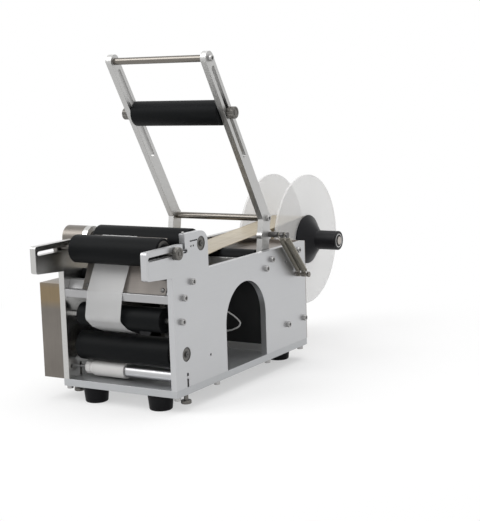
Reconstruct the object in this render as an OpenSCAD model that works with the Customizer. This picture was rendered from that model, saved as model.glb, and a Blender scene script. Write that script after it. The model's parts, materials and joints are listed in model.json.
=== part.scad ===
// Round bottle labeling machine: two side plates on a base, a bottle seat of two rollers,
// a sprung press arm, a peel plate, a driven liner take-up and a label reel at the back.

/* [Body] */
// Width over the two side plates
body_w = 210; // [200:1:230]
// Length of the side plates and of the base
body_l = 408; // [404:1:430]
// Thickness of a side plate
side_t = 10; // [9:0.5:12]
// Height of the side plates behind the tower
side_h = 170; // [168:1:178]
// Thickness of the base plate
base_t = 11; // [9:1:14]
// Height of a rubber foot
foot_h = 25; // [20:1:32]
// Radius of a rubber foot where it meets the base
foot_r = 20; // [16:1:24]

/* [Side plates] */
// Radius of the rounded tower round the rear roller's bearing
tower_r = 19; // [17:0.5:22]
// Distance from the front edge to the raised block of the tower
block_front = 36; // [34:1:44]
// How far the nose reaches in front of the plate
nose_reach = 64; // [56:1:74]
// Height of the nose's top edge above the base
nose_top = 215; // [212:0.5:219]
// Height of the nose's lower edge at the plate
nose_root = 169; // [162:1:176]
// How much higher the nose's lower edge is at its front
nose_rise = 4.5; // [0:0.5:8]
// Radius of the nose's two front corners
nose_corner = 4; // [2:0.5:8]
// Width of the slot that carries the front roller
slot_w = 6.4; // [5.4:0.2:7.4]
// Metal left between the slot and the nose's front edge
slot_margin = 5; // [4:0.5:9]
// Where the slot ends behind the front edge
slot_back = 42.5; // [41:0.5:46]
// Distance of the arched window behind the front edge
arch_front = 144; // [142:1:150]
// Distance of the arched window in front of the rear edge
arch_back = 140; // [134:1:146]
// Metal left above the arched window
arch_cap = 38; // [32:1:60]
// Height of the open slot that guides the take-up axle
lift_slot_h = 22; // [19:0.5:26]
// Radius of the two spare accessory holes in a side plate
spare_hole_r = 2.1; // [1.6:0.1:3.1]

/* [Rollers] */
// Radius of the two bottle rollers
roller_r = 21.5; // [20:0.5:22.5]
// Gap between the traction roller and a side plate
traction_gap = 9; // [8:0.5:15]
// Radius of the traction roller
traction_r = 22.5; // [20:0.5:22.5]
// Thickness of the rubber sleeve
rubber_t = 3.5; // [2:0.5:6]
// Distance of the rear bottle roller behind the front edge
rear_roller_y = 80; // [79:0.5:86]
// Height of the rear bottle roller
rear_roller_z = 210; // [208:0.5:214]
// Place of the front bottle roller behind the front edge
front_roller_y = 9.5; // [4:0.5:9.5]
// Height of the front bottle roller and of its slot
slot_z = 204; // [202:0.5:206]
// Distance of the traction roller behind the front edge
traction_y = 29.5; // [28:0.5:33]
// Height of the traction roller
traction_z = 50; // [49:0.5:52]
// Radius of the upper liner idler
idler_r = 18.6; // [14:0.2:20]
// Distance of the upper liner idler behind the front edge
idler_y = 19; // [18.5:0.5:22]
// Height of the upper liner idler
idler_z = 101; // [98:1:106]
// Radius of the idler that turns the label web up to the peel edge
web_idler_r = 10; // [7:0.5:12]
// Radius of the guide roller on the arm's pivot
pivot_roller_r = 15; // [12:0.5:16]
// Radius of the bare take-up tube
tube_r = 9.6; // [8:0.2:11]
// Radius of the wound liner on the take-up tube
liner_r = 12.4; // [11.6:0.1:12.4]
// Radius of a ball bearing's outer ring
bearing_r = 11; // [9:0.5:12]
// Radius of a roller axle
axle_r = 4; // [3:0.25:5]

/* [Press arm] */
// Thickness of an arm
arm_t = 10; // [6:0.5:10]
// Width of the upper part of an arm
arm_w = 22; // [18:1:26]
// Gap between an arm and its side plate
arm_gap = 2; // [1.2:0.2:3]
// Distance of the arm's pivot in front of the rear edge
pivot_ahead = 117; // [112:1:119]
// How far the arm's pivot lies below the top of the side plates
pivot_below = 15.4; // [15.2:0.2:18]
// How far the top rod lies in front of the pivot
top_rod_ahead = 149; // [130:1:155]
// How far the top rod lies above the pivot
top_rod_above = 329; // [300:1:350]
// How far the bend rod lies behind the pivot
bend_behind = 11; // [8:0.5:14]
// How far the bend rod lies above the pivot
bend_above = 66.5; // [62:0.5:72]
// Radius of the press roller
press_r = 20; // [16:0.5:24]
// Share of the way from the top rod to the bend rod where the press roller stands
press_place_share = 0.322; // [0.2:0.01:0.5]
// Radius of a rod of the arm
rod_r = 5.5; // [4.5:0.25:6.5]

/* [Return springs] */
// Distance of the lower spring stud in front of the rear edge
spring_ahead = 28; // [22:1:32]
// How far the lower spring stud lies below the top of the side plates
spring_below = 53; // [48:1:58]
// How far the upper spring stud lies behind the arm's pivot
stud_behind = 18; // [16:0.5:21]
// How far the upper spring stud lies above the arm's pivot
stud_above = 38.5; // [36:0.5:42]
// Radius of the spring wire
wire_r = 0.7; // [0.5:0.05:0.75]
// Radius of the coil to the middle of the wire
coil_r = 4.3; // [3.6:0.1:4.6]
// Number of curls in one spring
curls = 40; // [30:1:42]

/* [Labels] */
// Width of the label web and its liner
web_w = 65; // [50:1:67]
// How far the web's middle lies left of the machine's middle
web_left = 19; // [10:1:22]
// Thickness drawn for the label web
web_t = 0.4; // [0.3:0.05:0.5]
// Radius of the label roll
roll_r = 42; // [41:0.5:60]
// Radius of the roll's card core
core_r = 38; // [36:0.5:39]

/* [Reel] */
// Radius of a reel disc
disc_r = 120; // [100:1:130]
// Thickness of a reel disc
disc_t = 4; // [3:0.5:6]
// Clear width between the reel discs
disc_gap = 68.7; // [68:0.1:74]
// How far the reel's axis lies behind the rear edge
reel_behind = 172; // [167:1:192]
// How far the reel's axis lies below the top of the side plates
reel_below = 23.5; // [20:0.5:30]
// Radius of the hub's flange
hub_r = 45; // [38:1:50]
// Radius of the hub's grip
grip_r = 17.5; // [14:0.5:20]
// Length of the hub from the disc to its end
hub_len = 66; // [60:1:80]

/* [Covers] */
// Width of the drive cover on the left side
cover_w = 38; // [36:1:44]
// How far the low part of the drive cover ends below the top of the side plates
cover_below = 21; // [20.9:0.1:21.1]
// Thickness of the stainless sheet
sheet_t = 1.5; // [1:0.1:2]

/* [Hidden] */

$fn = 64;

// Fits and small clearances
run_fit = 0.05;
seat_gap = 0.3;
overrun = 1;
half = 0.5;
end_steps = 32;
quarter_turn = 90;

// Frame: half widths, and the inner and outer faces of the side plates
outer_x = body_w / 2;
inner_x = outer_x - side_t;

// Cap screws of the frame
screw_r = 3;
screw_head_r = 5;
screw_head_h = 5.5;
screw_grip = 12;
socket_r = 2.9;
socket_depth = 3;

// Places of the cross members on the side plates, behind the front edge and above the base
crossbar_y = 26.5;
crossbar_z = 135.6;
web_idler_y = 50;
web_idler_z = 156.5;
stay_gap = 0.5;
stay_depth = 8;
stay_below = 27.7;
stay_y = body_l - pivot_ahead - pivot_roller_r - stay_gap - stay_depth / 2;
stay_z = side_h - stay_below;
upper_stay_ahead = 26;
upper_stay_below = 12.4;
upper_stay_y = body_l - upper_stay_ahead;
upper_stay_z = side_h - upper_stay_below;
lower_stay_ahead = 67.8;
lower_stay_y = body_l - lower_stay_ahead;
lower_stay_z = 36.7;
tail_stay_ahead = 10.2;
tail_stay_y = body_l - tail_stay_ahead;
tail_stay_z = 37.6;
take_up_y = 30.6;
take_up_z = 14.9;
spare_front_y = 96.3;
spare_front_z = 35.9;
spare_rear_ahead = 68.2;
spare_rear_below = 26.4;
spare_rear_y = body_l - spare_rear_ahead;
spare_rear_z = side_h - spare_rear_below;
motor_y = 90;
motor_z = 70;
pivot_y = body_l - pivot_ahead;
pivot_z = side_h - pivot_below;
right_points = [
    [crossbar_y, crossbar_z], [web_idler_y, web_idler_z], [idler_y, idler_z],
    [pivot_y, pivot_z], [stay_y, stay_z], [upper_stay_y, upper_stay_z],
    [lower_stay_y, lower_stay_z], [tail_stay_y, tail_stay_z]
];

// Cross members
crossbar_h = 11.9;
crossbar_front = 0.7;
crossbar_depth = 36;
crossbar_bevel = 0.6;
stay_h = 30;
stay_end_r = 6;
upper_stay_r = 4.5;
lower_stay_r = 5;
fixed_axle_r = 5;
pivot_axle_r = 6;

// Peel plate: a bent sheet that leans back to the peel edge
peel_foot_y = 8;
peel_edge_y = 45;
peel_edge_z = 220;
peel_t = 1.6;
peel_gap_left = 28;
peel_gap_right = 27;
strip_gap = 9;
peel_left = inner_x - peel_gap_left;
peel_right = inner_x - peel_gap_right;
peel_strip_right = inner_x - strip_gap;
peel_strip_h = 20;
rail_h = 13;
rail_depth = 12;
peel_screw_r = 1.8;
peel_screw_head_r = 3.4;
peel_screw_head_h = 1.6;

// Feet
foot_taper_share = 0.875;
foot_side_gap = 45;
foot_spread = outer_x - foot_side_gap;
foot_inset = 22;
foot_recess_r = 6;
foot_recess_h = 14;

// Take-up and its two thumb screws
take_up_axle_r = 2.4;
flange_r = 10.4;
flange_w = 15.5;
liner_gap = 31;
sleeve_w = 58.5;
liner_left = inner_x - liner_gap;
thumb_r = 8;
thumb_h = 14;
thumb_shank_r = 2.3;
lift_slot_w = 5;

// Front roller's axle and knobs
front_axle_r = 3;
knob_r = 9.5;
knob_h = 8;
knob_teeth = 24;
knob_tooth_share = 0.06;
tooth_sides = 12;

// Drive inside the cover
pulley_r = 10;
belt_t = 2;
belt_w = 7;
belt_gap = 1.5;
shaft_hole_r = 6;
gear_size = 50;
gear_len = 34;
motor_r = 21;
motor_len = 52;
cover_bolt_r = 3;
bolt_inset = 8;
bolt_below = 19;

// Electronics box behind the pivot
panel_ahead = 118;
panel_below = 33;
panel_y = body_l - panel_ahead;
panel_t = 2;
panel_bottom = 11;
panel_top = side_h - panel_below;
strip_depth = 12;
ledge_ahead = 98;
ledge_y = body_l - ledge_ahead;
lid_drop = 6;
board_gap = 35;
board_len = 2 * (inner_x - board_gap);
board_depth = 70;
board_ahead = 92;
board_y = body_l - board_ahead;
board_z = 8;
board_t = 1.6;
board_part_shares = [-0.4, -0.2, 0.05, 0.3];
board_post_shares = [-0.45, 0.4];
board_part_inset = 14;
board_part_w = 15;
board_part_depth = 35;
board_part_h = 8;
cover_screw_r = 1.5;
cover_head_r = 3;
cover_head_h = 1.8;
inlet_gap = 35;
inlet_x = inner_x - inlet_gap;
inlet_z = 61;
inlet_w = 28;
inlet_h = 21;
inlet_flange = 3.5;
inlet_depth = 16;
inlet_wall = 2.2;
inlet_pin_w = 2;
inlet_pin_h = 4;
switch_x = 6;
switch_z = 72;
switch_w = 13;
switch_h = 19;
key_w = 11;
key_h = 13;
key_proud = 5.5;
key_dish = 2.2;
key_tilt = 9;

// Reel
reel_arm_t = 10;
reel_arm_h = 14.3;
reel_arm_top = side_h;
reel_arm_ahead = 78;
reel_arm_y = body_l - reel_arm_ahead;
reel_arm_screw_ahead = 63;
reel_arm_screw_below = 7;
reel_arm_screw_y = body_l - reel_arm_screw_ahead;
reel_arm_screw_z = side_h - reel_arm_screw_below;
reel_y = body_l + reel_behind;
reel_z = side_h - reel_below;
ear_r = 21;
shaft_r = 6;
cone_len = 24;
rim_w = 3;
end_ring_r = 13;
end_nut_r = 7.5;
end_ring_depth = 2;
shaft_collar_r = 12;

// Labels drawn on the web
web_step = 8;
web_wrap = 40;
nip_heading = -165;

// Gaps beside the rollers
rear_gap_left = 13;
rear_gap_right = 5;
front_gap_left = 20;
front_gap_right = 10;
idler_gap_left = 20;
idler_gap_right = 18;
idler_hub_r = 7.4;
idler_hub_proud = 2.3;
press_gap = 1.5;
pivot_roller_gap = 5;

// Springs
spring_first = 6.5;
spring_pitch_x = 11;
stud_r = 4.6;
groove_r = 1.8;
eye_r = 4;
leg_len = 4.6;
spring_y = body_l - spring_ahead;
spring_z = side_h - spring_below;
groove_w = 5;
stud_end = 3;
ring_steps = 8;
tube_sides = 6;

// Sizes derived for the arm
pivot = [pivot_y, pivot_z];
top_rod = pivot + [-top_rod_ahead, top_rod_above];
bend = pivot + [bend_behind, bend_above];
upper_stud = pivot + [stud_behind, stud_above];
lower_stud = [spring_y, spring_z];
press_point = top_rod + press_place_share * (bend - top_rod);
arm_outer = inner_x - arm_gap;
arm_inner = arm_outer - arm_t;
arm_foot_r = 12;
press_len = 2 * (arm_inner - press_gap);
pivot_roller_len = 2 * (arm_inner - pivot_roller_gap);
lug_r = 8;
arm_slot_start_share = 0.06;
arm_slot_end_share = 0.586;
press_axle_r = 4;
press_knob_h = 12;

// Sizes derived for the springs
link = upper_stud - lower_stud;
link_len = norm(link);
link_angle = atan2(link[1], link[0]);
eye_offset = eye_r - groove_r - seat_gap;
eye_mid_r = eye_r + wire_r;
leg_start = eye_offset + eye_mid_r;
coil_start = leg_start + leg_len;
coil_end = link_len - coil_start;
coil_pitch = (coil_end - coil_start) / curls;
spring_x = [for (i = [0, 1]) outer_x + spring_first + i * spring_pitch_x];
stud_tip = spring_x[1] + groove_w / 2 + stud_end;

// Sizes derived for the peel plate: its front face runs from the crossbar's top to the peel edge
crossbar_top = crossbar_z + crossbar_h / 2;
peel_slope = (peel_edge_y - peel_foot_y) / (peel_edge_z - crossbar_top);
peel_lean = atan(peel_slope);
peel_inward = peel_t / 2 * [cos(peel_lean), -sin(peel_lean)];
peel_tip = [peel_edge_y, peel_edge_z] + peel_inward;
peel_run = peel_t / cos(peel_lean);
peel_screw_x = [-peel_left + bolt_inset, 0, (peel_right + inner_x) / 2 - 2 * overrun];
peel_screw_z = crossbar_top + rail_h / 2;

// Sizes derived for the web: each wrap is a centre, a radius and the side of the path it lies on
web_clear = seat_gap + web_t / 2;
edge_wrap = [peel_tip, peel_t / 2 + web_clear, 1];
label_wraps = [
    [[reel_y, reel_z], roll_r + web_clear, 1],
    [pivot, pivot_roller_r + web_clear, 1],
    [[web_idler_y, web_idler_z], web_idler_r + web_clear, -1],
    edge_wrap
];
corner_r = 1;
bow_r = 9.2;
bow_ahead = 17.6;
bow_above = 2.2;
liner_wraps = [
    edge_wrap,
    [[crossbar_front + corner_r, crossbar_top - corner_r], corner_r + web_clear, 1],
    [[idler_y - bow_ahead, idler_z + bow_above], bow_r, 1],
    [[idler_y, idler_z], idler_r + web_clear, 1],
    [[traction_y, traction_z], traction_r + web_clear, -1]
];

// Sizes derived for the plates and their screws
arch_r = (body_l - arch_front - arch_back) / 2;
arch_y = arch_front + arch_r;
arch_spring = side_h - arch_cap - arch_r;
set_screw_r = 2.2;
set_screw_h = 3;
set_screw_y = block_front + set_screw_r + seat_gap;
slit_ahead = 10.5;
slit_above = 6.8;
slit_len = 19;
slit_r = 1;
grub_r = 1.6;
grub_above = -0.8;
grub_shares = [0.1, 0.44];
base_screw_shares = [0.02, 0.29, 0.68, 0.96];
base_screw_y = [for (s = base_screw_shares) s * body_l];
rear_screw_shares = [0.12, 0.5, 0.86];

// Sizes derived for the drive and its cover
cover_h = side_h - cover_below;
cover_bolt_points = [
    [bolt_inset, cover_h - bolt_below], [bolt_inset, bolt_below],
    [body_l - bolt_below, cover_h - cover_w], [body_l - bolt_below, bolt_below]
];
rear_left_x = -inner_x + rear_gap_left;
rear_right_x = inner_x - rear_gap_right;
traction_x = inner_x - traction_gap;
front_left_x = -inner_x + front_gap_left;
front_right_x = inner_x - front_gap_right;
lower_pulley_x = -outer_x - belt_gap - belt_w;
upper_pulley_x = lower_pulley_x - belt_gap - belt_w;

// The key rocks on a pin that lies in the plane of the bezel's face
key_pivot = [body_l + sheet_t + inlet_wall - key_proud / 2, switch_z];

// Label sensor
fork_y = 43;
fork_z = 186;
fork_depth = 18;
fork_h = 14;
fork_slot = 6;
fork_reach = 7;
fork_w = 18;
fork_arm = 8;

// Sizes derived for the reel, the take-up and the front roller
reel = [reel_y, reel_z];
disc_left = -web_left - disc_gap / 2;
disc_right = -web_left + disc_gap / 2;
hub_end = disc_right + disc_t + hub_len;
take_up = [take_up_y, take_up_z];
front = [front_roller_y, slot_z];

// The part's box, from which the origin at the middle of its foot is worked out
box_left = -outer_x - cover_w - cover_head_h;
box_right = stud_tip;
box_front = -nose_reach;
box_back = reel_y + disc_r;

// Route of the wiring loop: x from the middle, y from the dark panel's face and z from the base
loop_r = 2;
loop_sides = 8;
loop_parts = 2;
loop_up = [0.3, 0.2, 1];
loop_route = [
    [19, 0, 66], [19, -5, 66], [20, -9, 66], [24, -12, 65], [30, -14, 63], [37, -15, 60],
    [44, -16, 56], [49, -16, 52], [52, -16, 48], [51, -16, 44], [47, -16, 40], [41, -15, 37],
    [34, -14, 34], [27, -12, 32], [21, -9, 30], [18, -5, 30], [18, 0, 30]
];

// Helpers
function side_point(p, a) = p + [-sin(a), cos(a)];
function heading(w, v) = let (d = v[0] - w[0])
    atan2(d[1], d[0]) - asin((v[2] * v[1] - w[2] * w[1]) / norm(d));
function unwound(a, b, side) = side * (b - a) < -quarter_turn ? b + side * 4 * quarter_turn : b;
function wrap_of(w, a, b) = w[2] * (b - a) > 0 ? arc_of(w, a, b) : arc_of(w, (a + b) / 2, (a + b) / 2);
function arc_of(w, a, b) = let (n = max(1, ceil(abs(b - a) / web_step)))
    [for (i = [0:n]) let (h = a + (b - a) * i / n) [w[0] - w[2] * w[1] * [-sin(h), cos(h)], h]];
function web_path(w, first, last) = [
    for (i = [0:len(w) - 1])
        let (
            a = i == 0 ? first : heading(w[i - 1], w[i]),
            b = i == len(w) - 1 ? last : heading(w[i], w[i + 1])
        )
        each wrap_of(w[i], a, unwound(a, b, w[i][2]))
];
function ribbon(path, t) = concat(
    [for (q = path) q[0] + t / 2 * [-sin(q[1]), cos(q[1])]],
    [for (i = [len(path) - 1:-1:0]) path[i][0] - t / 2 * [-sin(path[i][1]), cos(path[i][1])]]
);

module placed() {
    translate([-(box_left + box_right) / 2, -(box_front + box_back) / 2, foot_h + base_t])
        children();
}

// An outline drawn behind the front edge and above the base, drawn out from x0 to x1
module across(x0, x1) {
    translate([x0, 0, 0]) rotate([90, 0, 90]) linear_extrude(x1 - x0) children();
}

module round_bar(x0, x1, p, r) {
    across(x0, x1) translate(p) circle(r = r);
}

// A flat bar with round ends
function half_turn(p, r, first) =
    [for (i = [0:end_steps]) let (a = first + 2 * quarter_turn * i / end_steps) p + r * [cos(a), sin(a)]];

module link_outline(p, q, r) {
    a = atan2(q[1] - p[1], q[0] - p[0]);
    polygon(concat(half_turn(p, r, a + quarter_turn), half_turn(q, r, a - quarter_turn)));
}

module both_sides() {
    children();
    mirror([1, 0, 0]) children();
}

// A cap screw whose head stands on the face at x and whose shank goes back from it
module cap_screw(x, p, grip) {
    difference() {
        union() {
            round_bar(x, x + screw_head_h, p, screw_head_r);
            round_bar(x - grip, x + overrun, p, screw_r);
        }
        across(x + screw_head_h - socket_depth, x + screw_head_h + overrun)
            translate(p) circle(r = socket_r, $fn = 6);
    }
}

// The blind thread in the end of a bar that ends at x
module screw_bore(x, p) {
    round_bar(x - screw_grip - overrun, x + overrun, p, screw_r + run_fit);
}

module knurled_knob(x0, x1, p, r) {
    across(x0, x1) translate(p) difference() {
        circle(r = r);
        for (i = [0:knob_teeth - 1])
            rotate(i * 360 / knob_teeth)
                translate([r, 0]) circle(r = r * knob_tooth_share, $fn = tooth_sides);
    }
}

// Frame
module base_plate() {
    color("#b8b8b9") difference() {
        translate([-outer_x, 0, -base_t]) cube([body_w, body_l, base_t]);
        both_sides() translate([outer_x - side_t / 2, take_up_y, -base_t - overrun])
            cylinder(h = base_t + 2 * overrun, r = thumb_shank_r + run_fit);
        both_sides() for (y = base_screw_y) translate([outer_x - side_t / 2, y, -base_t - overrun])
            cylinder(h = base_t + 2 * overrun, r = screw_r + run_fit);
    }
}

module rubber_feet() {
    color("#17181f") for (x = [-foot_spread, foot_spread], y = [foot_inset, body_l - foot_inset])
        translate([x, y, -base_t - foot_h]) difference() {
            cylinder(h = foot_h, r1 = foot_r * foot_taper_share, r2 = foot_r);
            translate([0, 0, -overrun]) cylinder(h = foot_recess_h + overrun, r = foot_recess_r);
        }
}

module nose_outline() {
    low = nose_root + nose_rise;
    slope = nose_rise / nose_reach;
    translate([-nose_reach + nose_corner, nose_top - nose_corner]) circle(r = nose_corner);
    translate([-nose_reach + nose_corner, low + nose_corner]) circle(r = nose_corner);
    translate([-nose_reach, low + nose_corner]) square([nose_corner, nose_top - low - 2 * nose_corner]);
    polygon([
        [-nose_reach + nose_corner, nose_top], [0, nose_top], [0, nose_root],
        [-nose_reach + nose_corner, low - slope * nose_corner]
    ]);
}

module side_outline(block) {
    difference() {
        union() {
            square([body_l, side_h]);
            square([rear_roller_y, nose_top]);
            square([rear_roller_y + tower_r, rear_roller_z]);
            if (block)
                translate([block_front, 0]) square([rear_roller_y - block_front, rear_roller_z + tower_r]);
            translate([rear_roller_y, rear_roller_z]) circle(r = tower_r);
            nose_outline();
        }
        link_outline(
            [-nose_reach + slot_margin + slot_w / 2, slot_z], [slot_back - slot_w / 2, slot_z], slot_w / 2
        );
        translate([block_front - slot_w, slot_z]) square([slot_w, nose_top - slot_z + overrun]);
        translate([arch_y, arch_spring]) circle(r = arch_r);
        translate([arch_y - arch_r, -overrun]) square([2 * arch_r, arch_spring + overrun]);
        translate([take_up_y - lift_slot_w / 2, -overrun])
            square([lift_slot_w, lift_slot_h - lift_slot_w / 2 + overrun]);
        translate([take_up_y, lift_slot_h - lift_slot_w / 2]) circle(r = lift_slot_w / 2);
        for (p = [[rear_roller_y, rear_roller_z], [traction_y, traction_z]])
            translate(p) circle(r = bearing_r + run_fit);
        if (block) translate([rear_roller_y - slit_ahead, rear_roller_z + slit_above]) {
            link_outline([-slit_len, 0], [0, 0], slit_r);
            for (g = grub_shares)
                translate([-slit_len * (1 - g), grub_above - slit_above]) circle(r = grub_r);
        }
        for (p = right_points) translate(p) circle(r = screw_r + run_fit);
        for (p = [[spare_front_y, spare_front_z], [spare_rear_y, spare_rear_z]])
            translate(p) circle(r = spare_hole_r);
    }
}

module set_screw_holes() {
    translate([outer_x - side_t / 2, set_screw_y, rear_roller_z + tower_r - set_screw_h - overrun])
        cylinder(h = set_screw_h + 2 * overrun, r = set_screw_r / 2 + run_fit);
}

module base_screw_holes() {
    for (y = base_screw_y) translate([outer_x - side_t / 2, y, -overrun])
        cylinder(h = screw_grip + 2 * overrun, r = screw_r + run_fit);
}

module right_side_plate() {
    color("#b8b8b9") difference() {
        across(inner_x, outer_x) side_outline(true);
        round_bar(inner_x - overrun, outer_x + overrun, lower_stud, screw_r + run_fit);
        base_screw_holes();
        set_screw_holes();
    }
}

module left_side_plate() {
    color("#b8b8b9") difference() {
        across(-outer_x, -inner_x) side_outline(false);
        round_bar(-outer_x - overrun, -inner_x + overrun, [motor_y, motor_z], shaft_hole_r);
        round_bar(
            -outer_x - overrun, -inner_x + overrun, [reel_arm_screw_y, reel_arm_screw_z], screw_r + run_fit
        );
        for (p = cover_bolt_points)
            round_bar(-outer_x - overrun, -inner_x + overrun, p, cover_bolt_r + run_fit);
        mirror([1, 0, 0]) base_screw_holes();
    }
}

module crossbar() {
    color("#bdbdbe") difference() {
        across(-inner_x, inner_x) translate([crossbar_front, crossbar_top - crossbar_h]) polygon([
            [0, 0], [crossbar_depth, 0], [crossbar_depth, crossbar_h], [crossbar_bevel, crossbar_h],
            [0, crossbar_h - crossbar_bevel]
        ]);
        both_sides() screw_bore(inner_x, [crossbar_y, crossbar_z]);
    }
}

// The leaning line of the peel plate's front face, at a height above the base
function peel_y(z) = peel_foot_y + peel_slope * (z - crossbar_top);

module peel_screw_place(i) {
    translate([peel_screw_x[i], peel_y(peel_screw_z), peel_screw_z]) rotate([90 - peel_lean, 0, 0])
        children();
}

module peel_rail() {
    color("#d0d0d0") difference() {
        across(-inner_x + seat_gap, inner_x - seat_gap) polygon([
            [peel_y(crossbar_top) + peel_run, crossbar_top],
            [peel_y(crossbar_top) + peel_run + rail_depth, crossbar_top],
            [peel_y(crossbar_top + rail_h) + peel_run + rail_depth, crossbar_top + rail_h],
            [peel_y(crossbar_top + rail_h) + peel_run, crossbar_top + rail_h]
        ]);
        for (i = [0:2]) peel_screw_place(i)
            translate([0, 0, -rail_depth]) cylinder(h = 2 * rail_depth, r = peel_screw_r + run_fit);
    }
}

module peel_plate() {
    foot = [peel_foot_y, crossbar_top] + peel_inward;
    color("#8a8078") difference() {
        union() {
            across(-peel_left, peel_right) intersection() {
                link_outline(foot - [peel_slope, 1], peel_tip, peel_t / 2);
                translate([0, crossbar_top]) square(2 * peel_edge_z);
            }
            across(-peel_left, peel_strip_right) intersection() {
                link_outline(foot - [peel_slope, 1], peel_tip, peel_t / 2);
                translate([0, crossbar_top]) square([2 * peel_edge_z, peel_strip_h]);
            }
        }
        for (i = [0:2]) peel_screw_place(i)
            translate([0, 0, -rail_depth]) cylinder(h = 2 * rail_depth, r = peel_screw_r + run_fit);
    }
}

module stay_bar() {
    color("#bdbdbe") difference() {
        union() {
            across(-arm_inner + overrun, arm_inner - overrun)
                translate([stay_y - stay_depth / 2, stay_z - stay_h / 2]) square([stay_depth, stay_h]);
            round_bar(-inner_x, inner_x, [stay_y, stay_z], stay_end_r);
        }
        both_sides() screw_bore(inner_x, [stay_y, stay_z]);
    }
}

module rear_stays() {
    color("#bdbdbe") difference() {
        union() {
            round_bar(-inner_x + reel_arm_t, inner_x, [upper_stay_y, upper_stay_z], upper_stay_r);
            round_bar(-inner_x, inner_x, [lower_stay_y, lower_stay_z], lower_stay_r);
            round_bar(-inner_x, inner_x, [tail_stay_y, tail_stay_z], lower_stay_r);
        }
        screw_bore(inner_x, [upper_stay_y, upper_stay_z]);
        mirror([1, 0, 0]) screw_bore(inner_x - reel_arm_t, [upper_stay_y, upper_stay_z]);
        both_sides() {
            screw_bore(inner_x, [lower_stay_y, lower_stay_z]);
            screw_bore(inner_x, [tail_stay_y, tail_stay_z]);
        }
    }
}

module frame_screws() {
    grip = side_t + screw_grip - overrun;
    color("#77787a") {
        for (p = right_points) cap_screw(outer_x, p, grip);
        mirror([1, 0, 0]) for (p = right_points)
            cap_screw(outer_x, p, p[0] == upper_stay_y ? grip + reel_arm_t : grip);
        mirror([1, 0, 0])
            cap_screw(outer_x, [reel_arm_screw_y, reel_arm_screw_z], side_t + reel_arm_t - overrun);
        both_sides() for (y = base_screw_y) translate([outer_x - side_t / 2, y, -base_t]) {
            difference() {
                union() {
                    translate([0, 0, -screw_head_h]) cylinder(h = screw_head_h, r = screw_head_r);
                    translate([0, 0, -overrun]) cylinder(h = base_t + screw_grip, r = screw_r);
                }
                translate([0, 0, -screw_head_h - overrun])
                    cylinder(h = socket_depth + overrun, r = socket_r, $fn = 6);
            }
        }
    }
}

module fixed_axles() {
    idlers = [[web_idler_y, web_idler_z], [idler_y, idler_z]];
    color("#b9b2a8") difference() {
        union() {
            for (p = idlers) round_bar(-inner_x, inner_x, p, fixed_axle_r);
            round_bar(-inner_x, inner_x, pivot, pivot_axle_r);
        }
        for (p = concat(idlers, [pivot])) both_sides() screw_bore(inner_x, p);
    }
}

module bearings() {
    groove_in = (axle_r + bearing_r) / 2 - axle_r / 2;
    groove_out = bearing_r - axle_r / 2;
    color("#c9cacb") for (p = [[rear_roller_y, rear_roller_z], [traction_y, traction_z]])
        both_sides() difference() {
            round_bar(inner_x, outer_x, p, bearing_r);
            round_bar(inner_x - overrun, outer_x + overrun, p, axle_r + run_fit);
            across(outer_x - half, outer_x + overrun) translate(p) difference() {
                circle(r = groove_out);
                circle(r = groove_in);
            }
        }
}

// Drive
module cover_outline(t) {
    translate([t, t]) square([body_l - 2 * t, cover_h - 2 * t]);
    link_outline([rear_roller_y, tower_r], [rear_roller_y, rear_roller_z], tower_r - t);
}

module drive_cover() {
    color("#8a8078") difference() {
        across(-outer_x - cover_w, -outer_x) cover_outline(0);
        across(-outer_x - cover_w + sheet_t, -outer_x + overrun) cover_outline(sheet_t);
        for (p = cover_bolt_points)
            round_bar(-outer_x - cover_w - overrun, -outer_x, p, cover_bolt_r + run_fit);
    }
}

module cover_bolts() {
    color("#8c8d8f") for (p = cover_bolt_points) difference() {
        union() {
            round_bar(-outer_x - cover_w - cover_head_h, -outer_x - cover_w, p, screw_head_r);
            round_bar(-outer_x - cover_w - half, -inner_x - overrun, p, cover_bolt_r);
        }
        across(-outer_x - cover_w - cover_head_h - overrun, -outer_x - cover_w - cover_head_h / 2)
            translate(p) circle(r = socket_r, $fn = 6);
    }
}

module drive_belts() {
    motor = [motor_y, motor_z];
    x0 = -outer_x - belt_gap;
    color("#1b1c1e") {
        across(x0 - belt_w, x0) difference() {
            link_outline(motor, [traction_y, traction_z], pulley_r + seat_gap + belt_t);
            link_outline(motor, [traction_y, traction_z], pulley_r + seat_gap);
        }
        across(x0 - 2 * belt_w - belt_gap, x0 - belt_w - belt_gap) difference() {
            link_outline(motor, [rear_roller_y, rear_roller_z], pulley_r + seat_gap + belt_t);
            link_outline(motor, [rear_roller_y, rear_roller_z], pulley_r + seat_gap);
        }
    }
}

module drive_motor() {
    color("#3a3b3d") difference() {
        union() {
            across(-inner_x, -inner_x + gear_len)
                translate([motor_y - gear_size / 2, motor_z - gear_size / 2]) square(gear_size);
            round_bar(-inner_x + gear_len, -inner_x + gear_len + motor_len, [motor_y, motor_z], motor_r);
        }
        round_bar(-inner_x - overrun, -inner_x + gear_len / 2, [motor_y, motor_z], axle_r + run_fit);
    }
}

// Electronics box
module box_panel() {
    color("#2b2c2e") difference() {
        translate([-inner_x + seat_gap, panel_y, panel_bottom])
            cube([2 * inner_x - 2 * seat_gap, panel_t, panel_top - panel_bottom]);
        for (i = [0, len(loop_route) - 1]) translate([loop_route[i][0], panel_y - overrun, loop_route[i][2]])
            rotate([-90, 0, 0]) cylinder(h = panel_t + 2 * overrun, r = loop_r + run_fit);
    }
}

module panel_strip() {
    color("#aeaeae") difference() {
        across(-inner_x + seat_gap, inner_x - seat_gap)
            translate([panel_y, 0]) square([strip_depth, panel_bottom]);
        across(-inner_x, inner_x) translate([panel_y + panel_t, panel_t]) square([strip_depth, panel_bottom]);
    }
}

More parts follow.
